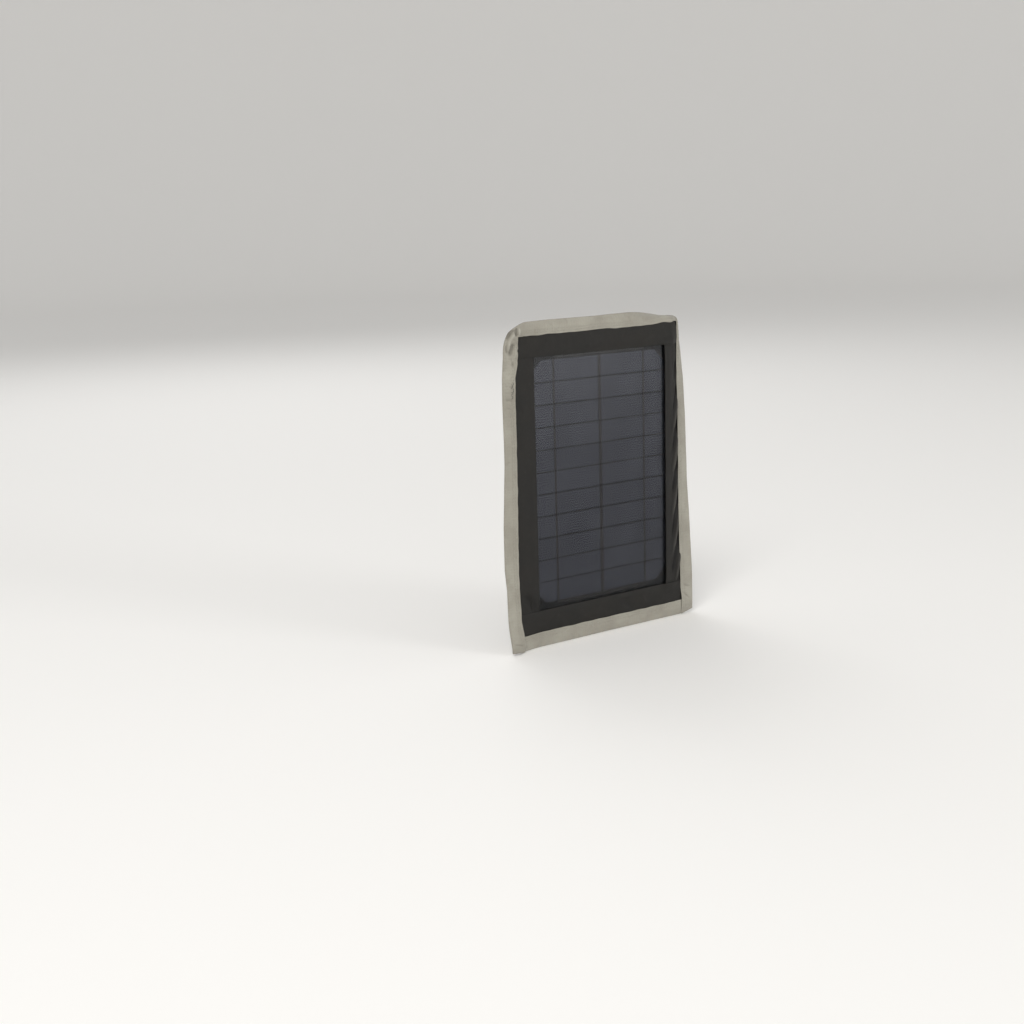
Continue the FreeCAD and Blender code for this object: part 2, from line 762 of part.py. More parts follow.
def make_electronics():
    """The circuit board, its components and the two leads from the laminate."""
    outline = rectangle(
        "0 - pcb_wide / 2",
        "pcb_wide / 2",
        f"{CASE_MIDDLE} - pcb_high / 2",
        f"{CASE_MIDDLE} + pcb_high / 2",
    )
    pcb = plate("PcbPlate", outline, PCB_HIGH, PCB_LOW)
    pads = []
    leads = []
    for right in (-1, 1):
        x = f"{right} * lead_apart / 2"
        below = f"{PCB_LOW} - pcb_thick / 2"
        pads.append(rod(f"Pad{right + 1}", "lead_round", "2 * pcb_thick", x, below, LEAD_LEVEL))
        leads.append(rod(
            f"Lead{right + 1}", "lead_round", minus(PCB_HIGH, BOARD_BACK), x, BOARD_BACK, LEAD_LEVEL
        ))
    subpart(cut("Pcb", pcb, *pads), "circuit_board")
    subpart(group("Leads", *leads), "lead_wires")
    cans = []
    for x in ("left_can", "right_can"):
        level = f"{CASE_MIDDLE} - can_drop"
        cans.append(rod(f"{x}_rod", "can_round", "can_high", x, PCB_HIGH, level))
    subpart(group("Cans", *cans), "capacitors")


def make_socket():
    """A type A charging socket: shell, tongue and four contacts, opening towards +X."""
    mouth = WALL_IN
    back = f"({WALL_IN} - usb_long)"
    y = (PCB_HIGH, f"{PCB_HIGH} + usb_high")
    z = (f"{CASE_MIDDLE} - usb_wide / 2", f"{CASE_MIDDLE} + usb_wide / 2")
    inner_y = (f"{y[0]} + usb_wall", f"{y[1]} - usb_wall")
    inner_z = (f"{z[0]} + usb_wall", f"{z[1]} - usb_wall")
    shell = block("ShellBox", (back, mouth), y, z)
    room = block("ShellRoom", (f"{back} + usb_wall", f"{mouth} + spare"), inner_y, inner_z)
    subpart(cut("Shell", shell, room), "usb_shell")

    inner_x = (f"{back} + usb_wall", f"{back} + usb_block_long")
    rear = block("TongueBlock", inner_x, inner_y, inner_z)
    tongue_low = f"({inner_y[0]} + tongue_lift)"
    tongue_top = f"({tongue_low} + tongue_thick)"
    blade = block(
        "TongueBlade",
        (f"{back} + usb_wall", f"{mouth} - tongue_inset"),
        (tongue_low, tongue_top),
        (f"{CASE_MIDDLE} - tongue_wide / 2", f"{CASE_MIDDLE} + tongue_wide / 2"),
    )
    subpart(fuse("Tongue", rear, blade), "usb_tongue")

    contacts = []
    for number in range(4):
        middle = f"({CASE_MIDDLE} + {number - 1.5} * contact_apart)"
        contacts.append(block(
            f"Contact{number}",
            (f"{back} + usb_block_long", f"{mouth} - contact_inset"),
            (tongue_top, f"{tongue_top} + contact_thick"),
            (f"{middle} - contact_wide / 2", f"{middle} + contact_wide / 2"),
        ))
    subpart(group("Contacts", *contacts), "usb_contacts")


def make_port_cover():
    """A rubber cover that plugs the port and turns on a pin above it."""
    face = (f"{WALL_OUT} + cover_gap", f"{WALL_OUT} + cover_gap + cover_thick")
    leaf = block(
        "CoverLeaf",
        face,
        (COVER_FRONT, COVER_REAR),
        (f"{CASE_MIDDLE} - cover_wide / 2", f"{CASE_MIDDLE} + cover_wide / 2 - hinge_round / 2"),
    )
    plug = block(
        "CoverPlug",
        (f"{WALL_OUT} - plug_long + cover_gap", f"{WALL_OUT} + cover_gap"),
        (
            f"{USB_MIDDLE} - port_high / 2 + plug_gap",
            f"{USB_MIDDLE} + port_high / 2 - plug_gap",
        ),
        (
            f"{CASE_MIDDLE} - port_wide / 2 + plug_gap",
            f"{CASE_MIDDLE} + port_wide / 2 - plug_gap",
        ),
    )
    barrel_low = f"({EAR_FRONT} + ear_thick + ear_gap)"
    barrel_long = "(ear_span - 2 * ear_thick - 2 * ear_gap)"
    neck = block(
        "CoverNeck",
        face,
        (barrel_low, f"{barrel_low} + {barrel_long}"),
        (CASE_MIDDLE, HINGE_Z),
    )
    barrel = rod("CoverBarrel", "hinge_round", barrel_long, HINGE_X, barrel_low, HINGE_Z)
    hole = rod("CoverHole", "pin_round + pin_gap", "cover_high", HINGE_X, COVER_FRONT, HINGE_Z)
    subpart(cut("PortCover", fuse("CoverSolid", leaf, plug, neck, barrel), hole), "port_cover")
    pin = rod("CoverPin", "pin_round", "ear_span", HINGE_X, EAR_FRONT, HINGE_Z)
    subpart(pin, "port_cover_pin")


# ---------------------------------------------------------------- flap over the box
def make_flap():
    """A fabric flap sewn above the case, arched over it and closed below it."""
    thick = "flap_thick"
    section = [
        (FLAP_START, FLAP_TOP),
        (f"{FLAP_START} + {thick}", FLAP_TOP),
        (f"{FLAP_OVER} + {thick}", FLAP_SHOULDER),
        (f"{FLAP_OVER} + {thick}", FLAP_KNEE),
        (f"{FLAP_LOW} + {thick}", FLAP_FOOT),
        (f"{FLAP_LOW} + {thick}", FLAP_TIP),
        (FLAP_LOW, FLAP_TIP),
        (FLAP_LOW, f"{FLAP_FOOT} + {thick}"),
        (FLAP_OVER, f"{FLAP_KNEE} + {thick}"),
        (FLAP_OVER, f"{FLAP_SHOULDER} - {thick}"),
        (FLAP_START, f"{FLAP_TOP} - {thick}"),
    ]
    body = strip("Flap", section, "0 - flap_wide / 2", "flap_wide / 2")
    subpart(body, "cover_flap")

    x = ("0 - patch_wide / 2", "patch_wide / 2")
    z = (f"{FLAP_TIP} + patch_inset", f"{FLAP_TIP} + patch_inset + patch_high")
    hooks = block("HookPatch", x, (f"{FLAP_LOW} - patch_hook_thick", FLAP_LOW), z)
    subpart(hooks, "flap_hook_patch")
    loops = block("LoopPatch", x, (CLOTH_BACK, f"{CLOTH_BACK} + patch_thick"), z)
    subpart(loops, "flap_loop_patch")


# ---------------------------------------------------------------- build, check and write
make_cloths()
make_binding()
make_thread()
make_hook_tapes()
make_sheets()
make_cells()
make_ribbons()
make_cross_ribbons()
make_case()
make_lid()
make_seal()
make_screws()
make_light_pipe()
make_electronics()
make_components()
make_socket()
make_port_cover()
make_flap()
doc.recompute()

for thing in doc.Objects:
    if {"Invalid", "Error"} & set(thing.State):
        raise RuntimeError(f"{thing.Name} failed: {thing.State}")
for thing in subparts:
    if thing.Shape.isNull() or not thing.Shape.isValid():
        raise RuntimeError(f"{thing.Label} has no valid shape")

os.makedirs("parts", exist_ok=True)
for thing in subparts:
    thing.Shape.exportStep(f"parts/{thing.Label}.step")
    box = thing.Shape.BoundBox
    print(
        f"{thing.Label:22s} solids {len(thing.Shape.Solids):3d} volume {thing.Shape.Volume:10.2f}"
        f"  x {box.XMin:8.2f} {box.XMax:8.2f}  y {box.YMin:6.2f} {box.YMax:6.2f}"
        f"  z {box.ZMin:8.2f} {box.ZMax:8.2f}"
    )
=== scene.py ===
import math
import random

import bpy
import numpy as np
from mathutils import Matrix, Vector, noise


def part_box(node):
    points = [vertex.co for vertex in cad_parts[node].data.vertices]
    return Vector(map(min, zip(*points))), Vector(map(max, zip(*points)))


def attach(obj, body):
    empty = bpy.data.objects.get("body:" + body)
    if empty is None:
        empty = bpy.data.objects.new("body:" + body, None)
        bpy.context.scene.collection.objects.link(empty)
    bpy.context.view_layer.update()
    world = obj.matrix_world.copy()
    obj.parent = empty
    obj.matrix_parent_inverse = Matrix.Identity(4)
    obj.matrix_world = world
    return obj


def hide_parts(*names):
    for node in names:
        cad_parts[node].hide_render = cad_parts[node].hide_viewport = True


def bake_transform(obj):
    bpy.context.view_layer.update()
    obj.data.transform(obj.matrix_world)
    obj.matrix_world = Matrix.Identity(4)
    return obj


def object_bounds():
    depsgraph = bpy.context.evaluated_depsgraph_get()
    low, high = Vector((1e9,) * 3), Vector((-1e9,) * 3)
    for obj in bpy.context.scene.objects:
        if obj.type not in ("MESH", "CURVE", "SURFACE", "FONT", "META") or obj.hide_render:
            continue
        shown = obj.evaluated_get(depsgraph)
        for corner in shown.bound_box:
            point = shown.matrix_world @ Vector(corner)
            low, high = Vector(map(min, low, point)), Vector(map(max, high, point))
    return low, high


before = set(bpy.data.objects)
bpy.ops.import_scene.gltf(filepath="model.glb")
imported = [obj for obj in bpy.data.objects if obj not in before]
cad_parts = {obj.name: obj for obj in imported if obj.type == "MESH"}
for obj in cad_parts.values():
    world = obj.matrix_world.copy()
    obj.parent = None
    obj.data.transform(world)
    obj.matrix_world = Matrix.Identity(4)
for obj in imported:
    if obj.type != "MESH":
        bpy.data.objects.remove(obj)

cad_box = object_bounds()

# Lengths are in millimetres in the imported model's frame, and MM turns them into metres.
# x runs to the right, z up, and the cells face -y.
MM = 0.001


# ---------------------------------------------------------------- camera, floor and light
CAMERA_PLACE = (-792.2, -1012.1, 123.4)
CAMERA_HEADING, CAMERA_PITCH, CAMERA_ROLL = 34.34, -11.94, -1.675
CAMERA_LENS = 49.22


def make_camera():
    heading = math.radians(CAMERA_HEADING)
    pitch = math.radians(CAMERA_PITCH)
    forward = Vector((
        math.sin(heading) * math.cos(pitch),
        math.cos(heading) * math.cos(pitch),
        math.sin(pitch),
    ))
    level = Vector((math.cos(heading), -math.sin(heading), 0))
    right = Matrix.Rotation(math.radians(-CAMERA_ROLL), 3, forward) @ level
    up = right.cross(forward)
    data = bpy.data.cameras.new("camera")
    data.lens = CAMERA_LENS
    data.clip_start, data.clip_end = 0.01, 50
    camera = bpy.data.objects.new("camera", data)
    turn = Matrix((right, up, -forward)).transposed().to_4x4()
    camera.matrix_world = Matrix.Translation(Vector(CAMERA_PLACE) * MM) @ turn
    bpy.context.collection.objects.link(camera)
    bpy.context.scene.camera = camera


def make_light(name, place, target, size, power, colour=(1, 1, 1)):
    data = bpy.data.lights.new(name, "AREA")
    data.size = size
    data.energy = power
    data.color = colour
    light = bpy.data.objects.new(name, data)
    light.location = place
    away = Vector(place) - Vector(target)
    light.rotation_euler = away.to_track_quat("Z", "Y").to_euler()
    light.visible_camera = False
    bpy.context.collection.objects.link(light)


make_camera()


# ---------------------------------------------------------------- places from the frame
def span(node):
    """A node's lowest and highest corners, in millimetres."""
    low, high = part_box(node)
    return tuple(value / MM for value in low), tuple(value / MM for value in high)


(LEFT, TAPE_FRONT_Y, BOTTOM), (RIGHT, TAPE_BACK_Y, TOP) = span("edge_binding_upper")
LOWER_TAPE = span("edge_binding_bottom")
TAPE_WIDE = RIGHT - LOWER_TAPE[1][0]
WINDOW_LEFT = span("border_left")[1][0]
WINDOW_RIGHT = span("border_right")[0][0]
WINDOW_TOP = span("border_top")[0][2]
WINDOW_BOTTOM = span("border_bottom")[1][2]
BORDER_FRONT_Y, BORDER_BACK_Y = span("border_top")[0][1], span("border_top")[1][1]
CLOTH_LOW, CLOTH_HIGH = span("back_fabric")
BOARD_LOW, BOARD_HIGH = span("backsheet_board")
CORNER_ROUND = 28
CLOTH_ROUND = CORNER_ROUND - (RIGHT - CLOTH_HIGH[0])

# The fabric frame is one soft sandwich, so every layer of it is laid on the same bent skin: a
# point has its place on the flat pattern and a level, which is how far it is in front of it.
SKIN_Y = -2.5


def level(y):
    return SKIN_Y - y


TAPE_FRONT, TAPE_BACK = level(TAPE_FRONT_Y), level(TAPE_BACK_Y)
BORDER_FRONT, BORDER_BACK = level(BORDER_FRONT_Y), level(BORDER_BACK_Y)
CLOTH_FRONT, CLOTH_BACK = level(CLOTH_LOW[1]), level(CLOTH_HIGH[1])

# The right margin bends back, more towards the top: (height, degrees) of the dark strip and of
# the edge tape beside it.
STRIP_BEND = [(-266, 0), (-224, 6), (-181, 14), (-131, 20), (-35, 22), (34, 27)]
TAPE_BEND = [(-266, 0), (-181, 1), (-131, 10), (-69, 14), (-35, 20), (-5, 34), (16, 54), (34, 72)]
BEND_START = 79
# The top tape rolls back towards the right corner, from this x to that.
ROLL_SPAN = (15, 112)
ROLL_MOST = 112
# Sewing moves the tapes a little. Side tapes: (height, inward) of the whole tape, and then of its
# outer edge alone. Top tape: (x, upward) of its inner and its outer edge. Bottom tape: the inner.
LEFT_PULL = [
    (-266, -0.4), (-245, -1.0), (-226, -1.6), (-207, -2.3), (-188, -2.5), (-149, -2.2), (-111, -1.8),
    (-73, -1.2), (-34, -1.0), (-15, -0.3), (4, 2.9), (34, 3.2),
]
LEFT_RIM_PULL = [
    (-266, 0.8), (-245, 1.5), (-207, 2.8), (-188, 1.2), (-149, 0.7), (-130, 1.4), (-111, 2.1),
    (-92, 3.0), (-73, 3.0), (-34, 2.5), (-15, 2.0), (4, 0.2), (34, 0),
]
RIGHT_PULL = [
    (-266, 1.5), (-240, 1.8), (-190, 2.1), (-100, 2.3), (-55, 2.4), (-30, 3.6), (-10, 3.6), (10, 2.7),
    (34, 2.6),
]
RIGHT_RIM_PULL = [
    (-266, -0.8), (-251, -1.2), (-230, -2.4), (-164, -2.8), (-142, -2.2), (-120, -1.9), (-99, -1.1),
    (-55, -0.9), (-30, -1.8), (-11, -1.7), (34, -0.4),
]
TOP_LIFT = [(-95, 0.9), (-50, 1.3), (-30, 1.2), (0, 1.6), (25, 1.1), (50, 1.4), (75, 2.4)]
TOP_RIM_LIFT = [(-97, -2.0), (-60, -1.1), (-5, -1.1), (14, -0.6), (35, -0.5), (60, -0.9), (97, 0.2)]
LOW_LIFT = [(-97, -1.5), (-80, -0.5), (90, -0.35)]
# The pulls grow from the first distance off the middle line to the second.
SIDE_GROWS, RIM_GROWS = (78, 97), (98, 111)
# The feet of the two side tapes sit higher than the bottom tape, and the left one curls forward.
LEFT_FOOT, RIGHT_FOOT = 1.5, 3.6
CURL_MOST, CURL_REACH = 5.5, 13
# The laminate keeps the middle flat: its centre and half its size. Outside it the cloth flutters.
STILL_X, STILL_Z, STILL_HALF_WIDE, STILL_HALF_HIGH = -1, -116, 84, 122
FLUTTER = 0.5
# The sandwich is thin at its outer edge, where the tape squeezes it.
PINCH_LEVEL, PINCH_LEAST, PINCH_REACH = 0.6, 0.48, 12


def ramp(value, start, finish):
    """0 before start, 1 after finish, and smooth between them."""
    t = np.clip((np.asarray(value, float) - start) / (finish - start), 0, 1)
    return t * t * (3 - 2 * t)


def table(value, pairs):
    places, amounts = zip(*pairs)
    return np.interp(value, places, amounts)


def turned(distance, slope, steps=28):
    """How far on, and how far back, a sheet gets over a distance with a slope that changes."""
    part = (np.arange(steps) + 0.5) / steps
    angle = slope(distance[..., None] * part)
    return np.cos(angle).mean(-1) * distance, np.sin(angle).mean(-1) * distance


def skin(x, z):
    """The bent skin at a place of the flat pattern, in millimetres."""
    pull = table(z, LEFT_PULL) * ramp(-x, *SIDE_GROWS) + table(z, LEFT_RIM_PULL) * ramp(-x, *RIM_GROWS)
    pull = pull - table(z, RIGHT_PULL) * ramp(x, *SIDE_GROWS)
    pull = pull - table(z, RIGHT_RIM_PULL) * ramp(x, *RIM_GROWS)
    lift = table(x, TOP_LIFT) * ramp(z, 4, 19) * ramp(-z, -34, -20)
    lift = lift + table(x, TOP_RIM_LIFT) * ramp(z, 20, 34)
    lift = lift + table(x, LOW_LIFT) * ramp(-z, 236, 250) * ramp(z, -266, -252)
    lift = lift + LEFT_FOOT * ramp(-x, 94, 110) * ramp(-z, 250, 266)
    lift = lift + RIGHT_FOOT * np.clip((x - 95) / 16, 0, 1) * ramp(-z, 240, 266)
    x, z = x + pull, z + lift
    strip_bend = np.radians(table(z, STRIP_BEND))[..., None]
    tape_bend = np.radians(table(z, TAPE_BEND))[..., None]

    def side_slope(past):
        return strip_bend * ramp(past, 0, 9) + (tape_bend - strip_bend) * ramp(past, 14, 22)

    past = np.maximum(x - BEND_START, 0)
    across, side_back = turned(past, side_slope)
    roll = np.radians(ROLL_MOST) * ramp(x, *ROLL_SPAN)[..., None]

    def top_slope(past):
        return roll * ramp(past, 0, 8)

    above = np.maximum(z - (TOP - TAPE_WIDE + 0.8), 0)
    rise, top_back = turned(above, top_slope)
    curl = CURL_MOST * np.exp(-((x - LEFT) ** 2 + (z - BOTTOM) ** 2) / (2 * CURL_REACH**2))
    past_still = np.maximum(np.abs(x - STILL_X) - STILL_HALF_WIDE, np.abs(z - STILL_Z) - STILL_HALF_HIGH)
    flutter = FLUTTER * np.sin(z / 23 + 1.3 * np.sin(x / 31)) * np.sin(x / 37 + 2)
    flutter = flutter * ramp(past_still, 0, 22)
    return np.stack(
        [x - past + across, SKIN_Y + side_back + top_back - curl + flutter, z - above + rise], -1
    )


def from_edge(x, z):
    """How far inside the tape's outer edge a place of the flat pattern is."""
    centre_x, centre_z = RIGHT - CORNER_ROUND, TOP - CORNER_ROUND
    straight = np.minimum(RIGHT - np.abs(x), np.minimum(TOP - z, z - BOTTOM))
    cornered = CORNER_ROUND - np.hypot(np.abs(x) - centre_x, z - centre_z)
    return np.where((np.abs(x) > centre_x) & (z > centre_z), cornered, straight)


def front_of(x, z):
    """The skin's unit normal on the front."""
    step = 0.05
    right = skin(x + step, z) - skin(x - step, z)
    up = skin(x, z + step) - skin(x, z - step)
    normal = np.cross(right, up)
    return normal / np.linalg.norm(normal, axis=-1, keepdims=True)


def lay(x, z, out):
    """Where points of the flat pattern lie, this far in front of the skin, in metres."""
    x, z, out = np.broadcast_arrays(*(np.asarray(item, float) for item in (x, z, out)))
    pinch = PINCH_LEAST + (1 - PINCH_LEAST) * ramp(from_edge(x, z), -1, PINCH_REACH)
    out = PINCH_LEVEL + (out - PINCH_LEVEL) * pinch
    return (skin(x, z) + out[..., None] * front_of(x, z)) * MM


def ripple(x, z, size, seed):
    """Smooth noise from about -1 to 1, with features of this size."""
    flat_x, flat_z = np.ravel(x), np.ravel(z)
    values = [
        noise.noise(Vector((a / size, b / size, seed))) for a, b in zip(flat_x, flat_z)
    ]
    return np.reshape(values, np.shape(x)) * 1.6


def folds(x, z, creases):
    """Height from a list of creases: (x, z) of each end, half width and height."""
    total = np.zeros(np.shape(x))
    for x0, z0, x1, z1, width, height in creases:
        along = Vector((x1 - x0, z1 - z0))
        length = along.length
        unit = along / length
        t = ((x - x0) * unit.x + (z - z0) * unit.y) / length
        away = -(x - x0) * unit.y + (z - z0) * unit.x
        taper = ramp(t, -0.15, 0.3) * ramp(1 - t, -0.15, 0.3)
        total = total + height * taper * np.exp(-((away / width) ** 2))
    return total


# ---------------------------------------------------------------- meshes
# How thick each cloth or tape is, in millimetres.
STRIP_THICK, BACK_THICK, TAPE_THICK, FLAP_THICK = 0.35, 0.45, 0.42, 0.55
LOOP_THICK, FLAP_PATCH_THICK = 0.42, 0.4


def new_object(name, points, faces, flat=None, fold=None):
    """A mesh object. flat is each point's place on its own cloth and fold is how far a crease lifts it, both
    in millimetres; the cloth and tape materials paint shade in the hollows and a highlight on the ridges
    from fold."""
    mesh = bpy.data.meshes.new(name)
    mesh.from_pydata([tuple(point) for point in points], [], faces)
    mesh.validate()
    if flat is not None:
        layer = mesh.attributes.new("flat", "FLOAT_VECTOR", "POINT")
        spread = np.zeros((len(points), 3), np.float32)
        spread[:, :2] = np.asarray(flat).reshape(-1, 2) * MM
        layer.data.foreach_set("vector", spread.ravel())
    if fold is not None:
        layer = mesh.attributes.new("fold", "FLOAT", "POINT")
        layer.data.foreach_set("value", np.ravel(fold).astype(np.float32))
    mesh.shade_smooth()
    thing = bpy.data.objects.new(name, mesh)
    bpy.context.collection.objects.link(thing)
    return thing


def grid_faces(rows, columns, keep=None):
    """Quads over a grid of points, row by row; keep says which cells stay."""
    faces = []
    for row in range(rows - 1):
        for column in range(columns - 1):
            if keep is None or keep(row, column):
                first = row * columns + column
                faces.append((first, first + columns, first + columns + 1, first + 1))
    return faces


def grid_object(name, points, flat, flip=False, keep=None, fold=None):
    """A sheet from a grid of points; its faces look the way that the grid's rows turn."""
    rows, columns = points.shape[:2]
    faces = grid_faces(rows, columns, keep)
    if flip:
        faces = [face[::-1] for face in faces]
    return new_object(name, points.reshape(-1, 3), faces, flat, fold)


def thicken(thing, thickness):
    """Add thickness behind the faces."""
    modifier = thing.modifiers.new("thickness", "SOLIDIFY")
    modifier.thickness = thickness * MM
    modifier.offset = -1


def steps(start, finish, size):
    count = max(2, int(round(abs(finish - start) / size)) + 1)
    return np.linspace(start, finish, count)


def rectangle(low, high, across, up):
    """A grid over a rectangle, with steps of about these sizes: x and z of each point."""
    return np.meshgrid(steps(low[0], high[0], across), steps(low[2], high[2], up))


def finished(thing, material, body="panel", stands_for=()):
    """Give a piece its material, its body and the nodes that it stands for."""
    thing.data.materials.clear()
    thing.data.materials.append(material)
    if body:
        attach(thing, body)
    if stands_for:
        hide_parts(*stands_for)
    return thing


# ---------------------------------------------------------------- materials
class Shade:
    """A material being made, with short ways to add nodes to it."""

    def __init__(self, name, colour=(0.5, 0.5, 0.5), roughness=0.5, **values):
        self.material = bpy.data.materials.new(name)
        self.material.use_nodes = True
        self.tree = self.material.node_tree
        self.tree.nodes.clear()
        self.shader = self.add("BsdfPrincipled")
        self.output = self.add("OutputMaterial")
        self.tree.links.new(self.shader.outputs[0], self.output.inputs["Surface"])
        self.set(self.shader, "Base Color", (*colour, 1) if isinstance(colour, tuple) else colour)
        self.set(self.shader, "Roughness", roughness)
        for key, value in values.items():
            self.set(self.shader, key.replace("_", " "), value)

    def set(self, node, key, value):
        socket = node.inputs[key]
        if isinstance(value, bpy.types.NodeSocket):
            self.tree.links.new(value, socket)
        else:
            socket.default_value = value

    def add(self, kind, inputs=None, **settings):
        node = self.tree.nodes.new("ShaderNode" + kind)
        for key, value in settings.items():
            setattr(node, key, value)
        for key, value in (inputs or {}).items():
            self.set(node, key, value)
        return node

    def place(self):
        return self.add("TexCoord").outputs["Object"]

    def flat(self):
        return self.add("Attribute", attribute_name="flat").outputs["Vector"]

    # The crease height, from which the cloth and tape materials paint shade in hollows and a highlight on
    # ridges.
    def fold(self):
        return self.add("Attribute", attribute_name="fold").outputs["Fac"]

    def axis(self, vector, letter):
        return self.add("SeparateXYZ", {0: vector}).outputs[letter]

    def maths(self, operation, first, second=0.0, third=0.0):
        node = self.add("Math", {0: first, 1: second, 2: third}, operation=operation)
        return node.outputs[0]

    def noise(self, vector, size, detail=3.0, roughness=0.55):
        """Noise from 0 to 1 with features of this size in millimetres."""
        inputs = {
            "Vector": vector, "Scale": 1 / (size * MM), "Detail": detail, "Roughness": roughness,
        }
        return self.add("TexNoise", inputs).outputs["Fac"]

    def stripes(self, coordinate, period):
        """A sine of a coordinate in metres, with this period in millimetres."""
        turn = self.maths("MULTIPLY", coordinate, 2 * math.pi / (period * MM))
        return self.maths("SINE", turn)

    def weave(self, flat, warp, weft):
        """A plain weave over a flat pattern; its yarns have these periods in millimetres."""
        across, along = self.axis(flat, "X"), self.axis(flat, "Y")
        return self.maths("MULTIPLY", self.stripes(across, warp), self.stripes(along, weft))

    def squeeze(self, value, low, high, out_low=0.0, out_high=1.0):
        """A value from low to high, as one from out_low to out_high."""
        inputs = {
            "Value": value, "From Min": low, "From Max": high, "To Min": out_low, "To Max": out_high,
        }
        return self.add("MapRange", inputs).outputs[0]

    def mix(self, amount, first, second):
        node = self.add("Mix", data_type="RGBA")
        for key, value in ((0, amount), (6, first), (7, second)):
            self.set(node, key, (*value, 1) if isinstance(value, tuple) else value)
        return node.outputs[2]

    def between(self, value, span, first, second):
        """A mix of two colours as a value goes over a span."""
        return self.mix(self.squeeze(value, *span), linear(*first), linear(*second))

    def over(self, under, value, span, most, colour):
        """A colour laid over another, up to this share, as a value goes over a span."""
        return self.mix(self.squeeze(value, *span, 0, most), under, linear(*colour))

    def bump(self, height, distance, strength=1.0, under=None):
        inputs = {"Height": height, "Distance": distance * MM, "Strength": strength}
        if under is not None:
            inputs["Normal"] = under
        return self.add("Bump", inputs).outputs[0]

    def finish(self, normal=None, **values):
        if normal is not None:
            self.set(self.shader, "Normal", normal)
        for key, value in values.items():
            self.set(self.shader, key.replace("_", " "), value)
        return self.material


def linear(red, green, blue):
    """A colour on the usual 0 to 255 scale, as light."""
    shares = (red / 255, green / 255, blue / 255)
    return tuple(
        share / 12.92 if share <= 0.04045 else ((share + 0.055) / 1.055) ** 2.4 for share in shares
    )


def tape_material():
    """Warm grey grosgrain: cross ribs in a slight herringbone, soft stains, painted shade in the crease
    hollows and a painted highlight on the crease ridges.
    """
    shade = Shade("grosgrain", roughness=0.82, Specular_IOR_Level=0.25, Sheen_Weight=0.18,
                  Sheen_Roughness=0.5)
    flat = shade.flat()
    along, across = shade.axis(flat, "X"), shade.axis(flat, "Y")
    zigzag = shade.maths("MULTIPLY", shade.maths("PINGPONG", across, 0.0052), 0.16)
    wander = shade.maths("MULTIPLY", shade.noise(flat, 14, 2), 0.0022)
    line = shade.maths("ADD", along, shade.maths("ADD", zigzag, wander))
    rib = shade.stripes(line, 0.95)
    coarse = shade.stripes(line, 2.7)
    yarn = shade.stripes(across, 0.55)
    threads = shade.maths("MULTIPLY_ADD", yarn, 0.35, rib)
    patches = shade.noise(shade.place(), 22, 4)
    grain = shade.noise(shade.place(), 0.5, 2)
    light = shade.between(patches, (0.3, 0.7), (152, 148, 137), (178, 175, 163))
    valley = shade.squeeze(shade.maths("MULTIPLY_ADD", coarse, 0.12, threads), -1.6, 0.9)
    colour = shade.mix(valley, linear(141, 137, 127), light)
    colour = shade.mix(shade.squeeze(grain, 0.25, 0.6, 0.16, 0), colour, linear(96, 92, 84))
    smudge = shade.squeeze(shade.noise(shade.place(), 6, 4, 0.7), 0.56, 0.78, 0, 0.3)
    colour = shade.mix(smudge, colour, linear(104, 100, 92))
    # Painted shade: darker where the creases and the rumple sink the tape. Painted highlight: paler where
    # they raise it.
    fold = shade.fold()
    colour = shade.over(colour, fold, (-0.15, -1.1), 0.6, (92, 88, 80))
    colour = shade.over(colour, fold, (0.3, 1.3), 0.4, (196, 193, 182))
    bump = shade.bump(threads, 0.1, 0.6)
    bump = shade.bump(coarse, 0.04, 0.4, bump)
    bump = shade.bump(shade.noise(shade.place(), 2.6, 3), 0.3, 0.5, bump)
    return shade.finish(bump, Base_Color=colour)


def thread_material(name, dark, pale):
    shade = Shade(name, roughness=0.6, Sheen_Weight=0.2)
    spot = shade.noise(shade.place(), 0.6, 2)
    colour = shade.mix(shade.squeeze(spot, 0.3, 0.7), dark, pale)
    return shade.finish(shade.bump(shade.noise(shade.place(), 0.12, 1), 0.05), Base_Color=colour)


def coated_material():
    """Near-black coated cloth: a tight plain weave under a satin coat, with faint scuffs, painted shade in
    the crease hollows and a painted highlight on the crease ridges.
    """
    shade = Shade("coated_cloth", Specular_IOR_Level=0.2, Sheen_Weight=0.02)
    flat = shade.flat()
    weave = shade.weave(flat, 0.42, 0.38)
    cloudy = shade.noise(shade.place(), 30, 4)
    scuff = shade.noise(shade.place(), 3, 5, 0.65)
    colour = shade.between(cloudy, (0.3, 0.7), (28, 27, 25), (38, 36, 33))
    colour = shade.over(colour, weave, (-1, 1), 0.25, (24, 23, 22))
    colour = shade.over(colour, scuff, (0.6, 0.8), 0.22, (78, 76, 72))
    # Painted shade: near black where a crease sinks the strip. Painted highlight: paler grey where a crease
    # raises it.
    fold = shade.fold()
    colour = shade.over(colour, fold, (-0.2, -1.6), 0.85, (15, 14, 14))
    colour = shade.over(colour, fold, (0.3, 2.0), 0.6, (80, 78, 74))
    roughness = shade.squeeze(cloudy, 0.25, 0.75, 0.5, 0.66)
    bump = shade.bump(weave, 0.03, 0.5)
    bump = shade.bump(shade.noise(shade.place(), 9, 3), 0.35, 0.5, bump)
    return shade.finish(bump, Base_Color=colour, Roughness=roughness)


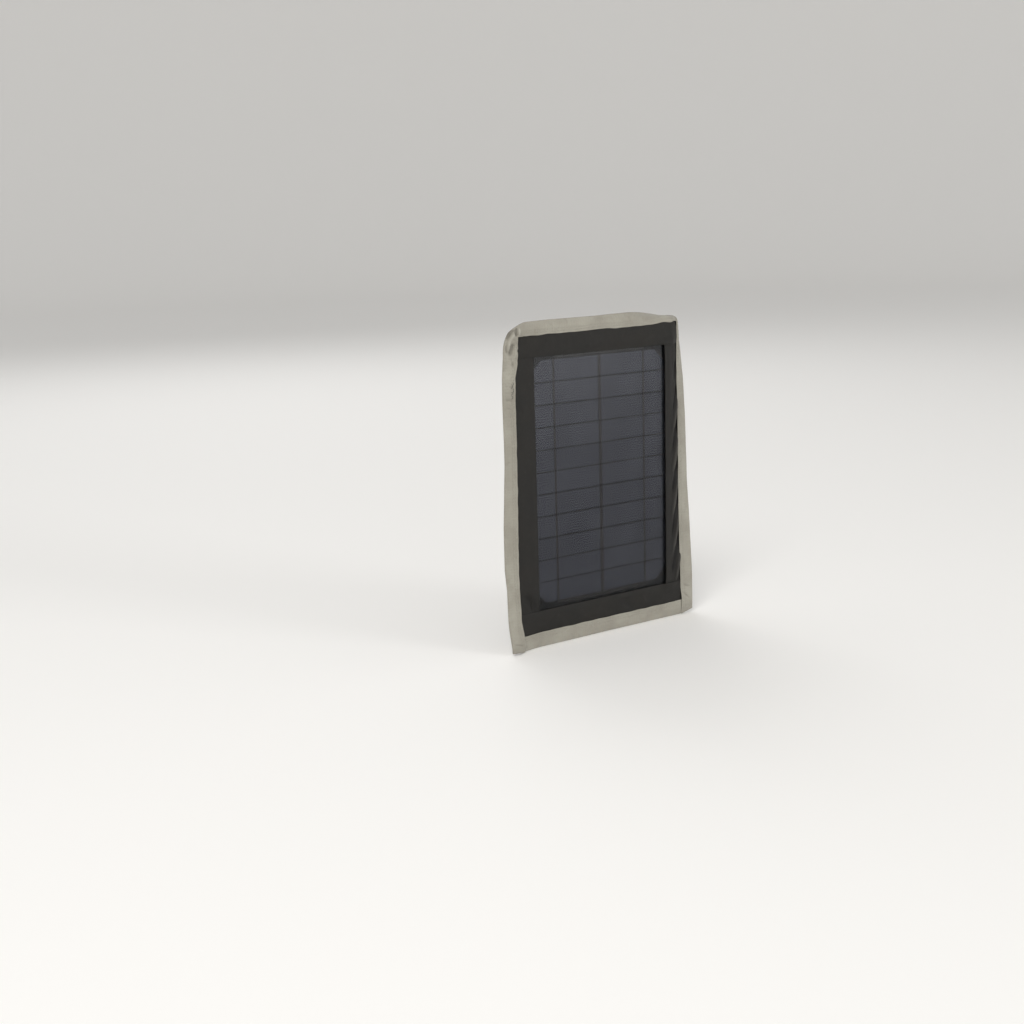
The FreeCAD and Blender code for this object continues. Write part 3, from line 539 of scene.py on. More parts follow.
def woven_material(name, dark, pale, period=0.85, roughness=0.78):
    """Matt oxford nylon: a visible plain weave with uneven yarns."""
    shade = Shade(name, roughness=roughness, Specular_IOR_Level=0.35, Sheen_Weight=0.12)
    flat = shade.flat()
    weave = shade.weave(flat, period, period)
    uneven = shade.noise(flat, 1.6, 3)
    cloudy = shade.noise(shade.place(), 35, 4)
    colour = shade.mix(shade.squeeze(cloudy, 0.3, 0.7), dark, pale)
    colour = shade.over(colour, weave, (-1, 1), 0.4, (20, 20, 21))
    colour = shade.over(colour, uneven, (0.6, 0.8), 0.3, (78, 78, 80))
    bump = shade.bump(weave, 0.12, 0.8)
    bump = shade.bump(uneven, 0.1, 0.4, bump)
    return shade.finish(bump, Base_Color=colour)


def foam_material():
    shade = Shade("foam", roughness=0.95, Specular_IOR_Level=0.2)
    cells = shade.add("TexVoronoi", {"Vector": shade.place(), "Scale": 1 / (0.7 * MM)}).outputs[0]
    colour = shade.between(cells, (0, 0.7), (30, 30, 32), (56, 56, 58))
    return shade.finish(shade.bump(cells, 0.2), Base_Color=colour)


def hook_material(name, dark, pale):
    shade = Shade(name, roughness=0.62, Specular_IOR_Level=0.45)
    spot = shade.noise(shade.place(), 1.2, 3)
    colour = shade.mix(shade.squeeze(spot, 0.3, 0.7), dark, pale)
    return shade.finish(shade.bump(shade.noise(shade.place(), 0.4, 2), 0.15), Base_Color=colour)


def board_material():
    """Brown-black board with faint warm patches."""
    shade = Shade("backsheet", Specular_IOR_Level=0.4)
    place = shade.place()
    patches = shade.noise(place, 11, 4)
    fibre = shade.noise(place, 0.8, 2)
    colour = shade.between(patches, (0.48, 0.72), (24, 20, 18), (62, 44, 36))
    colour = shade.over(colour, fibre, (0.3, 0.8), 0.3, (40, 34, 30))
    return shade.finish(shade.bump(fibre, 0.04), Base_Color=colour, Roughness=0.55)


FILM_CENTRE = 0.115
FILM_BOW = -0.5
FILM_MIRROR, PIPE_MIRROR, ENCAPSULANT_MIRROR = 0.007, 0.04, 0.0005


def clear_material(name, tint, gloss_roughness, mirror, haze=0.0):
    """A clear sheet: what is behind it shows, under the gloss of its face. mirror is how much of
    the light that meets it head on it sends back."""
    shade = Shade(name)
    shade.tree.nodes.remove(shade.shader)
    place = shade.place()
    through = shade.add("BsdfTransparent", {"Color": (*tint, 1)})
    height = shade.axis(place, "Z")
    ribs = shade.stripes(height, 1.95)
    waves = shade.noise(place, 60, 1)
    centred = shade.maths("ADD", height, FILM_CENTRE)
    bow = shade.maths("MULTIPLY", shade.maths("MULTIPLY", centred, centred), FILM_BOW)
    bump = shade.bump(bow, 1 / MM)
    bump = shade.bump(waves, 0.35, 0.5, bump)
    bump = shade.bump(ribs, 0.004, 0.5, bump)
    rough = shade.squeeze(shade.noise(place, 5, 3), 0.2, 0.8, gloss_roughness, gloss_roughness + 0.1)
    gloss = shade.add("BsdfGlossy", {"Roughness": rough, "Normal": bump})
    facing = shade.add("LayerWeight", {"Blend": 0.5, "Normal": bump}).outputs["Facing"]
    share = shade.squeeze(shade.maths("POWER", facing, 5), 0, 1, mirror, 0.9)
    top = shade.add("MixShader", {0: share, 1: through.outputs[0], 2: gloss.outputs[0]})
    result = top.outputs[0]
    if haze:
        veil = shade.add("BsdfDiffuse", {"Color": (0.75, 0.78, 0.84, 1)}).outputs[0]
        dust = shade.noise(place, 40, 5)
        share = shade.squeeze(dust, 0.2, 0.8, haze * 0.6, haze * 1.4)
        result = shade.add("MixShader", {0: share, 1: result, 2: veil}).outputs[0]
    shade.tree.links.new(result, shade.output.inputs["Surface"])
    return shade.material


RIBBON_BANDS = {"cell_ribbons_left": 1.5, "cell_ribbons_centre": 2.2, "cell_ribbons_right": 1.5}


def cell_material(number, low, high):
    """Blue-grey silicon with fine level finger lines, dark rims and a dull band along each ribbon;
    no two strips are quite the same."""
    shade = Shade(f"silicon_{number:02d}", Specular_IOR_Level=0.2)
    place = shade.place()
    height, across = shade.axis(place, "Z"), shade.axis(place, "X")
    finger = shade.squeeze(shade.stripes(height, 2.3), 0.5, 0.98)
    cloudy = shade.noise(place, 38, 3)
    random.seed(40 + number)
    shift = random.uniform(-2, 2)
    dark = linear(36 + shift, 37 + shift, 45 + shift)
    pale = linear(43 + shift, 44 + shift, 52 + shift)
    colour = shade.mix(shade.squeeze(cloudy, 0.3, 0.7), dark, pale)
    colour = shade.mix(shade.maths("MULTIPLY", finger, 0.26), colour, linear(92, 93, 98))
    for ribbon, half_band in RIBBON_BANDS.items():
        start, finish = span(ribbon)
        middle = (start[0] + finish[0]) / 2 * MM
        away = shade.maths("ABSOLUTE", shade.maths("SUBTRACT", across, middle))
        band = shade.squeeze(away, (half_band - 0.6) * MM, half_band * MM, 0.85, 0)
        colour = shade.mix(band, colour, linear(24, 21, 19))
    middle, half = (low[2] + high[2]) / 2 * MM, (high[2] - low[2]) / 2 * MM
    away = shade.maths("ABSOLUTE", shade.maths("SUBTRACT", height, middle))
    rim = shade.squeeze(away, half - 0.2 * MM, half - 0.05 * MM)
    colour = shade.mix(rim, colour, linear(14, 12, 12))
    return shade.finish(
        shade.bump(finger, 0.02, 0.4), Base_Color=colour, Roughness=0.42, Metallic=0.5
    )


def ribbon_material():
    shade = Shade("tinned_ribbon", Metallic=0.3, Specular_IOR_Level=0.15)
    place = shade.place()
    streak = shade.noise(place, 1.4, 4)
    colour = shade.between(streak, (0.3, 0.7), (22, 20, 18), (34, 31, 28))
    return shade.finish(shade.bump(streak, 0.02), Base_Color=colour, Roughness=0.5)


def plastic_material(name, colour, roughness, grain, depth):
    """Moulded plastic with spark-eroded grain and rubbed, slightly paler edges."""
    shade = Shade(name, Specular_IOR_Level=0.45)
    place = shade.place()
    sparks = shade.noise(place, grain, 3)
    cloudy = shade.noise(place, 14, 3)
    bright = tuple(min(1, value * 1.5 + 0.008) for value in colour)
    tone = shade.mix(shade.squeeze(cloudy, 0.3, 0.75), colour, bright)
    edge = shade.add("NewGeometry").outputs["Pointiness"]
    tone = shade.mix(shade.squeeze(edge, 0.53, 0.6, 0, 0.35), tone, tuple(v * 2 + 0.03 for v in colour))
    rough = shade.squeeze(sparks, 0.3, 0.7, roughness - 0.06, roughness + 0.08)
    return shade.finish(shade.bump(sparks, depth), Base_Color=tone, Roughness=rough)


def metal_material(name, colour, roughness, period=0.25):
    shade = Shade(name, Metallic=1.0)
    place = shade.place()
    brushed = shade.add("Mapping", {"Vector": place, "Scale": (0.15, 1, 1)}).outputs[0]
    lines = shade.noise(brushed, period, 4)
    tone = shade.mix(shade.squeeze(lines, 0.3, 0.7), tuple(v * 0.8 for v in colour), colour)
    rough = shade.squeeze(lines, 0.3, 0.7, roughness - 0.06, roughness + 0.08)
    return shade.finish(shade.bump(lines, 0.01), Base_Color=tone, Roughness=rough)


def circuit_material():
    """Green solder mask over traces."""
    shade = Shade("solder_mask", Specular_IOR_Level=0.5, Coat_Weight=0.3)
    place = shade.place()
    turned_place = shade.add(
        "Mapping", {"Vector": place, "Rotation": (math.radians(90), 0, 0)}
    ).outputs[0]
    brick = shade.add("TexBrick", {
        "Vector": turned_place, "Color1": (0, 0, 0, 1), "Color2": (0, 0, 0, 1), "Mortar": (1, 1, 1, 1),
        "Scale": 1 / (4 * MM), "Mortar Size": 0.06, "Mortar Smooth": 0.2,
    })
    trace = shade.add("RGBToBW", {0: brick.outputs[0]}).outputs[0]
    tone = shade.mix(trace, linear(10, 62, 40), linear(30, 104, 70))
    return shade.finish(shade.bump(trace, 0.05), Base_Color=tone, Roughness=0.35)


BORDER_CLOTH = coated_material()
BACK_CLOTH = woven_material("back_oxford", linear(38, 38, 40), linear(50, 50, 53))
FLAP_CLOTH = woven_material("flap_oxford", linear(40, 40, 42), linear(54, 54, 57), period=0.7)
GROSGRAIN = tape_material()
PALE_THREAD = thread_material("pale_thread", linear(120, 116, 106), linear(168, 164, 153))
BLACK_THREAD = thread_material("black_thread", linear(26, 26, 28), linear(52, 52, 55))
FOAM = foam_material()
HOOKS = hook_material("hook_nylon", linear(22, 22, 24), linear(38, 38, 41))
LOOPS = hook_material("loop_nylon", linear(24, 24, 26), linear(46, 46, 49))


# ---------------------------------------------------------------- outline and stitches
def cloth_half(z, round_off=CLOTH_ROUND, half=CLOTH_HIGH[0], top=CLOTH_HIGH[2]):
    """Half the cloth's width at a height, with both top corners rounded."""
    over = np.clip(z - (top - round_off), 0, round_off)
    return half - round_off + np.sqrt(round_off**2 - over**2)


def cloth_top(x):
    """The cloth's upper edge at an x, with both top corners rounded."""
    centre = CLOTH_HIGH[0] - CLOTH_ROUND
    over = np.clip(np.abs(x) - centre, 0, CLOTH_ROUND)
    return CLOTH_HIGH[2] - CLOTH_ROUND + np.sqrt(CLOTH_ROUND**2 - over**2)


def arch_stations(size=1.0):
    """Outer and inner edge of the upper tape, from its left foot over the top to the right."""
    inner_x, inner_z = RIGHT - TAPE_WIDE, TOP - TAPE_WIDE
    centre_x, centre_z = RIGHT - CORNER_ROUND, TOP - CORNER_ROUND
    outer, inner = [], []
    for z in steps(BOTTOM, centre_z, size)[:-1]:
        outer.append((-RIGHT, z))
        inner.append((-inner_x, z))
    turn = np.linspace(0, 1, int(CORNER_ROUND * math.pi / 2 / (size * 0.6)) + 1)
    for share in turn[:-1]:
        angle = math.pi / 2 * share
        outer.append((
            -centre_x - CORNER_ROUND * math.cos(angle), centre_z + CORNER_ROUND * math.sin(angle)
        ))
        up = min(1, share * 2)
        along = max(0, share * 2 - 1)
        inner.append((
            -inner_x + (inner_x - centre_x) * along, centre_z + (inner_z - centre_z) * up
        ))
    for x in steps(-centre_x, 0, size)[:-1]:
        outer.append((x, TOP))
        inner.append((x, inner_z))
    mirror = np.array((-1, 1))
    halves = (np.array(outer), (0, TOP)), (np.array(inner), (0, inner_z))
    return [np.concatenate([half, [middle], half[::-1] * mirror]) for half, middle in halves]


def running_length(points):
    gaps = np.linalg.norm(np.diff(points, axis=0), axis=1)
    return np.concatenate([[0], np.cumsum(gaps)])


class Strands:
    """Many small closed tubes gathered into one mesh."""

    def __init__(self):
        self.points, self.faces = [], []

    def join(self, rings, sides):
        """Faces between the last rings of points, each with this many sides."""
        first = len(self.points) - rings * sides
        for ring in range(rings - 1):
            for corner in range(sides):
                a = first + ring * sides + corner
                b = first + ring * sides + (corner + 1) % sides
                self.faces.append((a, b, b + sides, a + sides))
        return first, len(self.points) - sides

    def object(self, name, material, slot, body="panel", stands_for=()):
        return finished(new_object(name, self.points, self.faces), material, body, stands_for)


# A stitch from end to end: its rise above the cloth in millimetres, and its share of the radius.
STITCH_RISE = np.array((-0.18, 0.1, 0.16, 0.1, -0.18))
STITCH_SHARE = np.array((0.55, 0.95, 1.0, 0.95, 0.55))
STITCH_SIDES = 6
STITCH_START, STITCH_LONG, STITCH_GAP, STITCH_RADIUS = 0.4, 2.7, 0.5, 0.2


def stitch_places(reach, length):
    """Where each stitch of a row lies along its path."""
    place = STITCH_START
    while place + length < reach:
        yield place + np.linspace(0, length, len(STITCH_RISE))
        place += length + STITCH_GAP


def along_path(at, reach, path):
    """Points of a path, or of anything that goes with it, at distances along it."""
    return np.stack([np.interp(at, reach, column) for column in np.asarray(path).T], -1)


class Thread(Strands):
    """Stitches."""

    def tube(self, centres, ups, radii):
        """A closed tube through points; ups are the surface's normals there."""
        centres, ups = np.asarray(centres), np.asarray(ups)
        ahead = np.gradient(centres, axis=0)
        side = np.cross(ahead, ups)
        side /= np.linalg.norm(side, axis=1, keepdims=True) + 1e-12
        above = np.cross(side, ahead)
        above /= np.linalg.norm(above, axis=1, keepdims=True) + 1e-12
        for centre, right, up, radius in zip(centres, side, above, radii):
            for corner in range(STITCH_SIDES):
                angle = 2 * math.pi * corner / STITCH_SIDES
                self.points.append(
                    centre + (right * math.cos(angle) + up * math.sin(angle)) * radius
                )
        first, last = self.join(len(centres), STITCH_SIDES)
        self.faces.append(tuple(range(first + STITCH_SIDES - 1, first - 1, -1)))
        self.faces.append(tuple(range(last, last + STITCH_SIDES)))

    def row(self, path, out, face=1, jitter=0.12):
        """Stitches along a path on the flat pattern; face is -1 on the back."""
        path = np.asarray(path, float)
        reach = running_length(path)
        out = np.broadcast_to(np.asarray(out, float), len(path))
        for at in stitch_places(reach[-1], STITCH_LONG):
            wobble = random.uniform(-jitter, jitter)
            x, z = along_path(at, reach, path).T
            height = np.interp(at, reach, out)
            centres = lay(x + wobble * 0.4, z + wobble, height + STITCH_RISE * face)
            self.tube(centres, front_of(x, z) * face, STITCH_SHARE * STITCH_RADIUS * MM)

    def rows_on(self, centres, ups, length=STITCH_LONG):
        """Stitches along points in space, in millimetres, with the surface's normals."""
        reach = running_length(np.asarray(centres, float))
        for at in stitch_places(reach[-1], length):
            up = along_path(at, reach, ups)
            spot = along_path(at, reach, centres) + up * STITCH_RISE[:, None]
            self.tube(spot * MM, up, STITCH_SHARE * STITCH_RADIUS * MM)

    def box(self, low, high, inset, draw):
        """A box of stitches inside a rectangle; draw sews one side from its two ends."""
        left, bottom, right, top = low[0] + inset, low[2] + inset, high[0] - inset, high[2] - inset
        corners = [(left, bottom), (right, bottom), (right, top), (left, top)]
        for start, finish in zip(corners, corners[1:] + corners[:1]):
            draw(start, finish)


# ---------------------------------------------------------------- fabric frame
# Creases on the dark strips: both ends (x, z), half width and height; a hollow is negative.
RIGHT_CREASES = [
    (95, -14, 90, -34, 3.0, -1.2),
    (96, -40, 88, -62, 2.2, -2.4),
    (96, -52, 85, -84, 1.7, 2.0),
    (96, -72, 87, -102, 2.4, -2.8),
    (96, -88, 84, -124, 1.8, 2.4),
    (96, -110, 86, -142, 2.3, -2.8),
    (95, -128, 83, -166, 1.8, 2.2),
    (95, -148, 85, -184, 2.2, -2.6),
    (95, -168, 84, -202, 1.7, 2.2),
    (96, -186, 84, -222, 2.3, -2.8),
    (97, -204, 89, -231, 1.7, 1.9),
]
LEFT_CREASES = [
    (-92, -212, -80, -232, 3.4, -1.1),
    (-90, -30, -86, -90, 4.0, 0.3),
]
TOP_CREASES = [
    (-68, 6, -60, 16, 2.6, -0.45),
    (-20, 4, 10, 14, 5, 0.35),
    (40, 3, 78, 15, 4, 0.4),
    (66, 10, 92, 3, 3, -0.5),
]
BOTTOM_CREASES = [
    (20, -238, 34, -248, 3, -0.6),
    (44, -236, 52, -247, 2.6, 0.5),
    (-40, -236, -10, -246, 5, 0.35),
]
HEM = 9
UNDER_TAPE = 0.8
EDGE_LIFT = 0.35
RIGHT_EDGE_LIFT = 2.2


def strip_profile(reach, low, high, size=1.1):
    """A strip's section from its hem's raw edge round the fold and out: across and level."""
    radius = (high - low) / 2
    section = [(across, low) for across in steps(HEM, radius, 2.2)[:-1]]
    for angle in np.linspace(-90, 90, 9):
        turn = math.radians(angle)
        section.append((radius - radius * math.cos(turn), (low + high) / 2 + radius * math.sin(turn)))
    section += [(across, high) for across in steps(radius, reach, size)[1:]]
    return np.array(section)


def make_strip(name, along, place, reach, lift, creases, seed, node, flip, sink=np.zeros_like):
    """One dark strip. place gives x and z from the along and across of its pattern."""
    low, high = BORDER_BACK + 0.1, BORDER_FRONT - 0.25
    section = strip_profile(float(np.max(reach)), low, high)
    rows, columns = len(along), len(section)
    across = np.repeat(section[None, :, 0], rows, 0)
    out = np.repeat(section[None, :, 1], rows, 0)
    share = (np.asarray(reach) / np.max(reach))[:, None]
    beyond = across > HEM / 2
    across = np.where(beyond, across * share, across)
    start = np.repeat(np.asarray(along)[:, None], columns, 1)
    x, z = place(start, across)
    inside = ramp(across, 0, 6) * ramp(np.max(reach) - across, 8, 18)
    upper = np.arange(columns)[None, :] > np.argmin(section[:, 0])
    crown = 0.4 * inside + 0.16 * ripple(x, z, 17, seed) * ramp(across, 1, 8)
    crown = crown + 0.08 * ripple(x, z, 6, seed + 3)
    fold = folds(x, z, creases)
    crown = crown + fold
    floor_level = BORDER_BACK + 0.15 - out
    shape = np.where(upper, np.maximum(crown, floor_level), 0)
    edge = lift(x, z) * (1 - ramp(across, 0, 13)) + 0.12 * ripple(x, z, 24, seed + 9)
    under = UNDER_TAPE * ramp(-from_edge(x, z), -TAPE_WIDE + 1, -TAPE_WIDE + 4) * upper
    points = lay(x, z, out + shape - sink(z) * upper - under + np.maximum(edge, 0))
    flat_across = np.concatenate([[0], np.cumsum(np.linalg.norm(np.diff(section, axis=0), axis=1))])
    flat = np.stack([start, np.repeat(flat_across[None, :], rows, 0)], -1)
    thing = grid_object(name, points, flat, flip, fold=fold * upper)
    thicken(thing, STRIP_THICK)
    finished(thing, BORDER_CLOTH, stands_for=[node])
    return thing


def over_right(x):
    """1 where the top and bottom strips ride over the right strip's raised inner edge."""
    return ramp(x, 68, 76) * ramp(-x, -94, -82)


def make_strips():
    cover = 3.0
    along = steps(-CLOTH_HIGH[0] + 3, CLOTH_HIGH[0] - 3, 1.3)
    top_reach = cloth_top(along) - WINDOW_TOP - cover
    make_strip(
        "top_strip", along, lambda a, c: (a, WINDOW_TOP + c), top_reach,
        lambda x, z: EDGE_LIFT + 0.2 * np.sin(x / 29) + 1.9 * over_right(x), TOP_CREASES, 11,
        "border_top", False,
    )
    low_reach = np.full(len(along), WINDOW_BOTTOM - CLOTH_LOW[2] - cover)
    make_strip(
        "bottom_strip", along, lambda a, c: (a, WINDOW_BOTTOM - c), low_reach,
        lambda x, z: EDGE_LIFT + 0.2 * np.sin(x / 23 + 1) + 1.5 * over_right(x), BOTTOM_CREASES, 23,
        "border_bottom", True,
    )
    tuck = 7
    along = steps(WINDOW_BOTTOM - tuck, WINDOW_TOP + tuck, 1.3)

    def clear(z, reach):
        """0 under the top and bottom strips, and 1 this far from them."""
        return np.minimum(
            ramp(z, WINDOW_BOTTOM - 3, WINDOW_BOTTOM + reach), ramp(-z, -WINDOW_TOP - 3, -WINDOW_TOP + reach)
        )

    def sink(z):
        return 0.55 * (1 - clear(z, 14))

    left_reach = np.full(len(along), WINDOW_LEFT - CLOTH_LOW[0] - cover)
    make_strip(
        "left_strip", along, lambda a, c: (WINDOW_LEFT - c, a), left_reach,
        lambda x, z: EDGE_LIFT * clear(z, 8), LEFT_CREASES, 31, "border_left", False, sink,
    )
    right_reach = np.full(len(along), CLOTH_HIGH[0] - WINDOW_RIGHT - cover)
    make_strip(
        "right_strip", along, lambda a, c: (WINDOW_RIGHT + c, a), right_reach,
        lambda x, z: RIGHT_EDGE_LIFT * (0.6 + 0.4 * clear(z, 6)), RIGHT_CREASES, 47, "border_right",
        True, sink,
    )


# The back cloth and the foam stop short of the tape's fold.
CLOTH_SHORT, FOAM_SHORT = 2.5, 4


def make_back_cloth():
    high_x, high_z = CLOTH_HIGH[0] - CLOTH_SHORT, CLOTH_HIGH[2] - CLOTH_SHORT
    rows = steps(CLOTH_LOW[2] + CLOTH_SHORT, high_z, 1.8)
    shares = np.linspace(-1, 1, 125)
    z = np.repeat(rows[:, None], len(shares), 1)
    x = shares[None, :] * cloth_half(rows, CLOTH_ROUND - CLOTH_SHORT, high_x, high_z)[:, None]
    outside = ramp(np.maximum(np.abs(x + 2) - 84, np.abs(z + 115) - 122), 0, 6)
    out = CLOTH_BACK + 0.18 * ripple(x, z, 15, 5) * outside
    thing = grid_object("back_cloth", lay(x, z, out), np.stack([x, z], -1), flip=False)
    thicken(thing, BACK_THICK)
    finished(thing, BACK_CLOTH, stands_for=["back_fabric"])


def make_foam():
    rows = np.concatenate([
        steps(CLOTH_LOW[2] + FOAM_SHORT, BOARD_LOW[2], 3)[:-1],
        steps(BOARD_LOW[2], BOARD_HIGH[2], 4)[:-1],
        steps(BOARD_HIGH[2], CLOTH_HIGH[2] - FOAM_SHORT, 3),
    ])
    side = np.linspace(0, 1, 9)
    half = cloth_half(
        rows, CLOTH_ROUND - FOAM_SHORT, CLOTH_HIGH[0] - FOAM_SHORT, CLOTH_HIGH[2] - FOAM_SHORT
    )
    left = np.maximum(BOARD_LOW[0], -half + 4)
    right = np.minimum(BOARD_HIGH[0], half - 4)
    columns = [
        -half[:, None] + (left + half)[:, None] * side[None, :-1],
        left[:, None] + (right - left)[:, None] * np.linspace(0, 1, 40)[None, :-1],
        right[:, None] + (half - right)[:, None] * side[None, :],
    ]
    x = np.concatenate(columns, 1)
    z = np.repeat(rows[:, None], x.shape[1], 1)
    first, last = len(side) - 1, len(side) - 1 + 39

    def keep(row, column):
        hole_rows = BOARD_LOW[2] - 0.01 <= rows[row] and rows[row + 1] <= BOARD_HIGH[2] + 0.01
        return not (hole_rows and first <= column < last)

    out = np.full(x.shape, BORDER_BACK + 0.05)
    thing = grid_object("foam_sheet", lay(x, z, out), np.stack([x, z], -1), flip=True, keep=keep)
    thicken(thing, BORDER_BACK - CLOTH_FRONT)
    finished(thing, FOAM, stands_for=["foam_frame"])


# Creases of the tape: pleats at the corners and the rumpled stretch below the top left one.
TAPE_CREASES = [
    (-98, 19, -96.5, 29, 1.3, -2.2),
    (-94.5, 18.5, -94, 29, 1.6, 1.4),
    (-100, 27, -108, 17, 1.7, -2.4),
    (-98.5, 22, -104, 17, 1.9, 1.4),
    (-106.5, 24, -110, 12, 1.3, 0.9),
    (-101, 14, -105, 4, 1.8, -1.9),
    (-104.5, 18, -106.5, 8, 1.6, 1.3),
    (-108, 14, -108, 6, 1.3, -1.2),
    (-98.5, 12, -99, 2, 1.4, 0.9),
    (-104, 2, -99, -6, 1.3, -0.5),
    (-108, -2, -102, -9, 1.0, 0.35),
    (-109, -22, -98, -24, 0.9, -0.45),
    (-109, -28, -98, -30, 0.9, -0.5),
    (-109, -34, -98, -36, 0.9, -0.45),
    (-109, -41, -98, -43, 1.0, -0.35),
    (-109, -48, -98, -50, 1.0, -0.3),
    (96, 19, 101, 24, 1.1, -1.2),
    (80, 25, 97, 22, 1.0, -0.9),
    (84, 29, 98, 25, 1.0, 0.7),
    (98, -236, 108, -240, 1.2, -0.5),
    (98, -243, 106, -252, 1.2, -0.6),
    (-109, -256, -98, -259, 1.2, -0.6),
    (-106, -262, -98, -263, 1.0, 0.4),
]
SEAM_INSETS = (2.1, 4.7)
SIDE_OVER = 1.0


def tape_section(front, back, size=0.75):
    """Distance in from the outer edge, level, and distance across the tape, front to back."""
    middle = (front + back) / 2
    radius = (front - back) / 2
    section = [(inward, front) for inward in steps(TAPE_WIDE, radius, size)[:-1]]
    for angle in np.linspace(90, -90, 13):
        turn = math.radians(angle)
        section.append((radius * (1 - math.cos(turn)), middle + radius * math.sin(turn)))
    section += [(inward, back) for inward in steps(radius, TAPE_WIDE, size)[1:]]
    return np.array(section)


def seam_dip(inward):
    """The seams pull the tape down in two fine grooves."""
    dip = 0
    for inset in SEAM_INSETS:
        dip = dip - 0.3 * np.exp(-(((TAPE_WIDE - inset - inward) / 0.55) ** 2))
    return dip


def tape_fold(x, z):
    """Height of the tape's creases and of the rumpled stretch below the top left corner."""
    rumple = 0.42 * ripple(x, z, 4.5, 2) * ramp(-x, 90, 98) * ramp(z, -70, -20)
    return np.maximum(folds(x, z, TAPE_CREASES), -1.2) + rumple


def tape_front(x, z, inward):
    """Level of the tape's face above its plain one."""
    puff = 0.22 * np.sin(np.clip(inward / TAPE_WIDE, 0, 1) * math.pi)
    return puff + seam_dip(inward) + tape_fold(x, z) + 0.1 * ripple(x, z, 9, 8)


def make_tape(name, outer, inner, raised, node, seed, flip):
    """Edge tape folded round the sandwich, from stations along its outer and inner edge."""
    section = tape_section(TAPE_FRONT, TAPE_BACK)
    inward = section[None, :, 0]
    wobble = 0.35 * ripple(outer[:, 0], outer[:, 1], 11, seed)[:, None]
    share = (inward + wobble * (inward / TAPE_WIDE) ** 3) / TAPE_WIDE
    x = outer[:, :1] + (inner[:, :1] - outer[:, :1]) * share
    z = outer[:, 1:] + (inner[:, 1:] - outer[:, 1:]) * share
    front = section[:, 1] > (TAPE_FRONT + TAPE_BACK) / 2
    blend = np.clip((section[:, 1] - TAPE_BACK) / (TAPE_FRONT - TAPE_BACK), 0, 1)[None, :]
    inward_all = np.repeat(inward, len(outer), 0)
    shape = tape_front(x, z, inward_all) + raised[:, None]
    behind = 0.12 * np.sin(inward_all / TAPE_WIDE * math.pi) + seam_dip(inward_all)
    out = section[None, :, 1] + np.where(front[None, :], shape * blend, -behind * (1 - blend))
    points = lay(x, z, out)
    along = running_length(outer)
    across = np.concatenate([[0], np.cumsum(np.linalg.norm(np.diff(section, axis=0), axis=1))])
    flat = np.stack([
        np.repeat(along[:, None], len(section), 1), np.repeat(across[None, :], len(outer), 0)
    ], -1)
    thing = grid_object(name, points, flat, flip, fold=tape_fold(x, z) * front[None, :])
    thicken(thing, TAPE_THICK)
    finished(thing, GROSGRAIN, stands_for=[node])
    return thing


def make_binding():
    outer, inner = arch_stations()
    foot = ramp(-outer[:, 1], 236, 251) * SIDE_OVER
    make_tape("edge_tape", outer, inner, foot, "edge_binding_upper", 3, False)
    under = 2
    x = steps(-(RIGHT - TAPE_WIDE) - under, RIGHT - TAPE_WIDE + under, 1)
    low = np.stack([x, np.full(len(x), BOTTOM)], -1)
    high = low + (0, TAPE_WIDE)
    level_foot = np.zeros(len(x))
    make_tape("bottom_tape", low, high, level_foot, "edge_binding_bottom", 6, True)

    random.seed(5)
    thread = Thread()
    for inset in SEAM_INSETS:
        for start, finish, raised in ((outer, inner, foot), (low, high, level_foot)):
            path = start + (finish - start) * (1 - inset / TAPE_WIDE)
            inward = np.full(len(path), TAPE_WIDE - inset)
            face = TAPE_FRONT + tape_front(path[:, 0], path[:, 1], inward) + raised + 0.06
            thread.row(path, face)
            thread.row(path, TAPE_BACK - seam_dip(TAPE_WIDE - inset) - 0.06, face=-1)
    thread.object("binding_stitches", PALE_THREAD, "thread", stands_for=["binding_thread"])


def make_loose_threads():
    """Dark ends of thread that hang from the left tape."""
    random.seed(17)
    thread = Thread()
    for x, z in ((-99.6, -19), (-100.6, -22), (-99.2, -25), (-100.4, -28), (-99.8, -31)):
        turn = random.uniform(-0.9, 0.9)
        at = np.linspace(0, 1, 9)
        length = random.uniform(2, 3.6)
        lean = np.sin(at * math.pi * 1.3 + turn) * 0.6
        path_x = x + lean + turn * at
        path_z = z - at * length
        out = TAPE_FRONT + 0.35 + 0.6 * np.sin(at * math.pi) + tape_front(
            path_x, path_z, path_x - LEFT
        )
        centres = lay(path_x, path_z, out)
        thread.tube(centres, front_of(path_x, path_z), np.full(9, 0.17 * MM))
    thread.object("loose_threads", BLACK_THREAD, "thread")


# ---------------------------------------------------------------- hook and loop tapes
HOOK_PITCH = (2.0, 1.9)
HOOK_HIGH = 0.95


def hook_points(count=5):
    """One hook in its own plane: forward and up, from root to tip."""
    turn = np.linspace(0, 1, count)
    forward = 0.42 * np.sin(turn * math.pi)
    up = HOOK_HIGH * np.sin(np.clip(turn * 1.35, 0, 1) * math.pi / 2) - 0.28 * ramp(turn, 0.75, 1)
    return forward, up


def hook_places(start_x, start_z, rows, columns):
    """Row, x and z of each hook; every second row is set over by half a pitch."""
    for row in range(rows):
        for column in range(columns):
            offset = 0.5 * HOOK_PITCH[0] if row % 2 else 0
            yield row, start_x + column * HOOK_PITCH[0] + offset, start_z + row * HOOK_PITCH[1]


class HookField(Strands):
    """Square-section hooks."""

    def hook(self, root, side, up, ahead, radius=0.1):
        centres = [root + ahead * forward * MM + up * rise * MM for forward, rise in zip(*hook_points())]
        for centre in centres:
            for a, b in ((1, 1), (-1, 1), (-1, -1), (1, -1)):
                self.points.append(centre + (side * a + ahead * b) * radius * MM)
        last = self.join(len(centres), 4)[1]
        self.faces.append((last, last + 1, last + 2, last + 3))


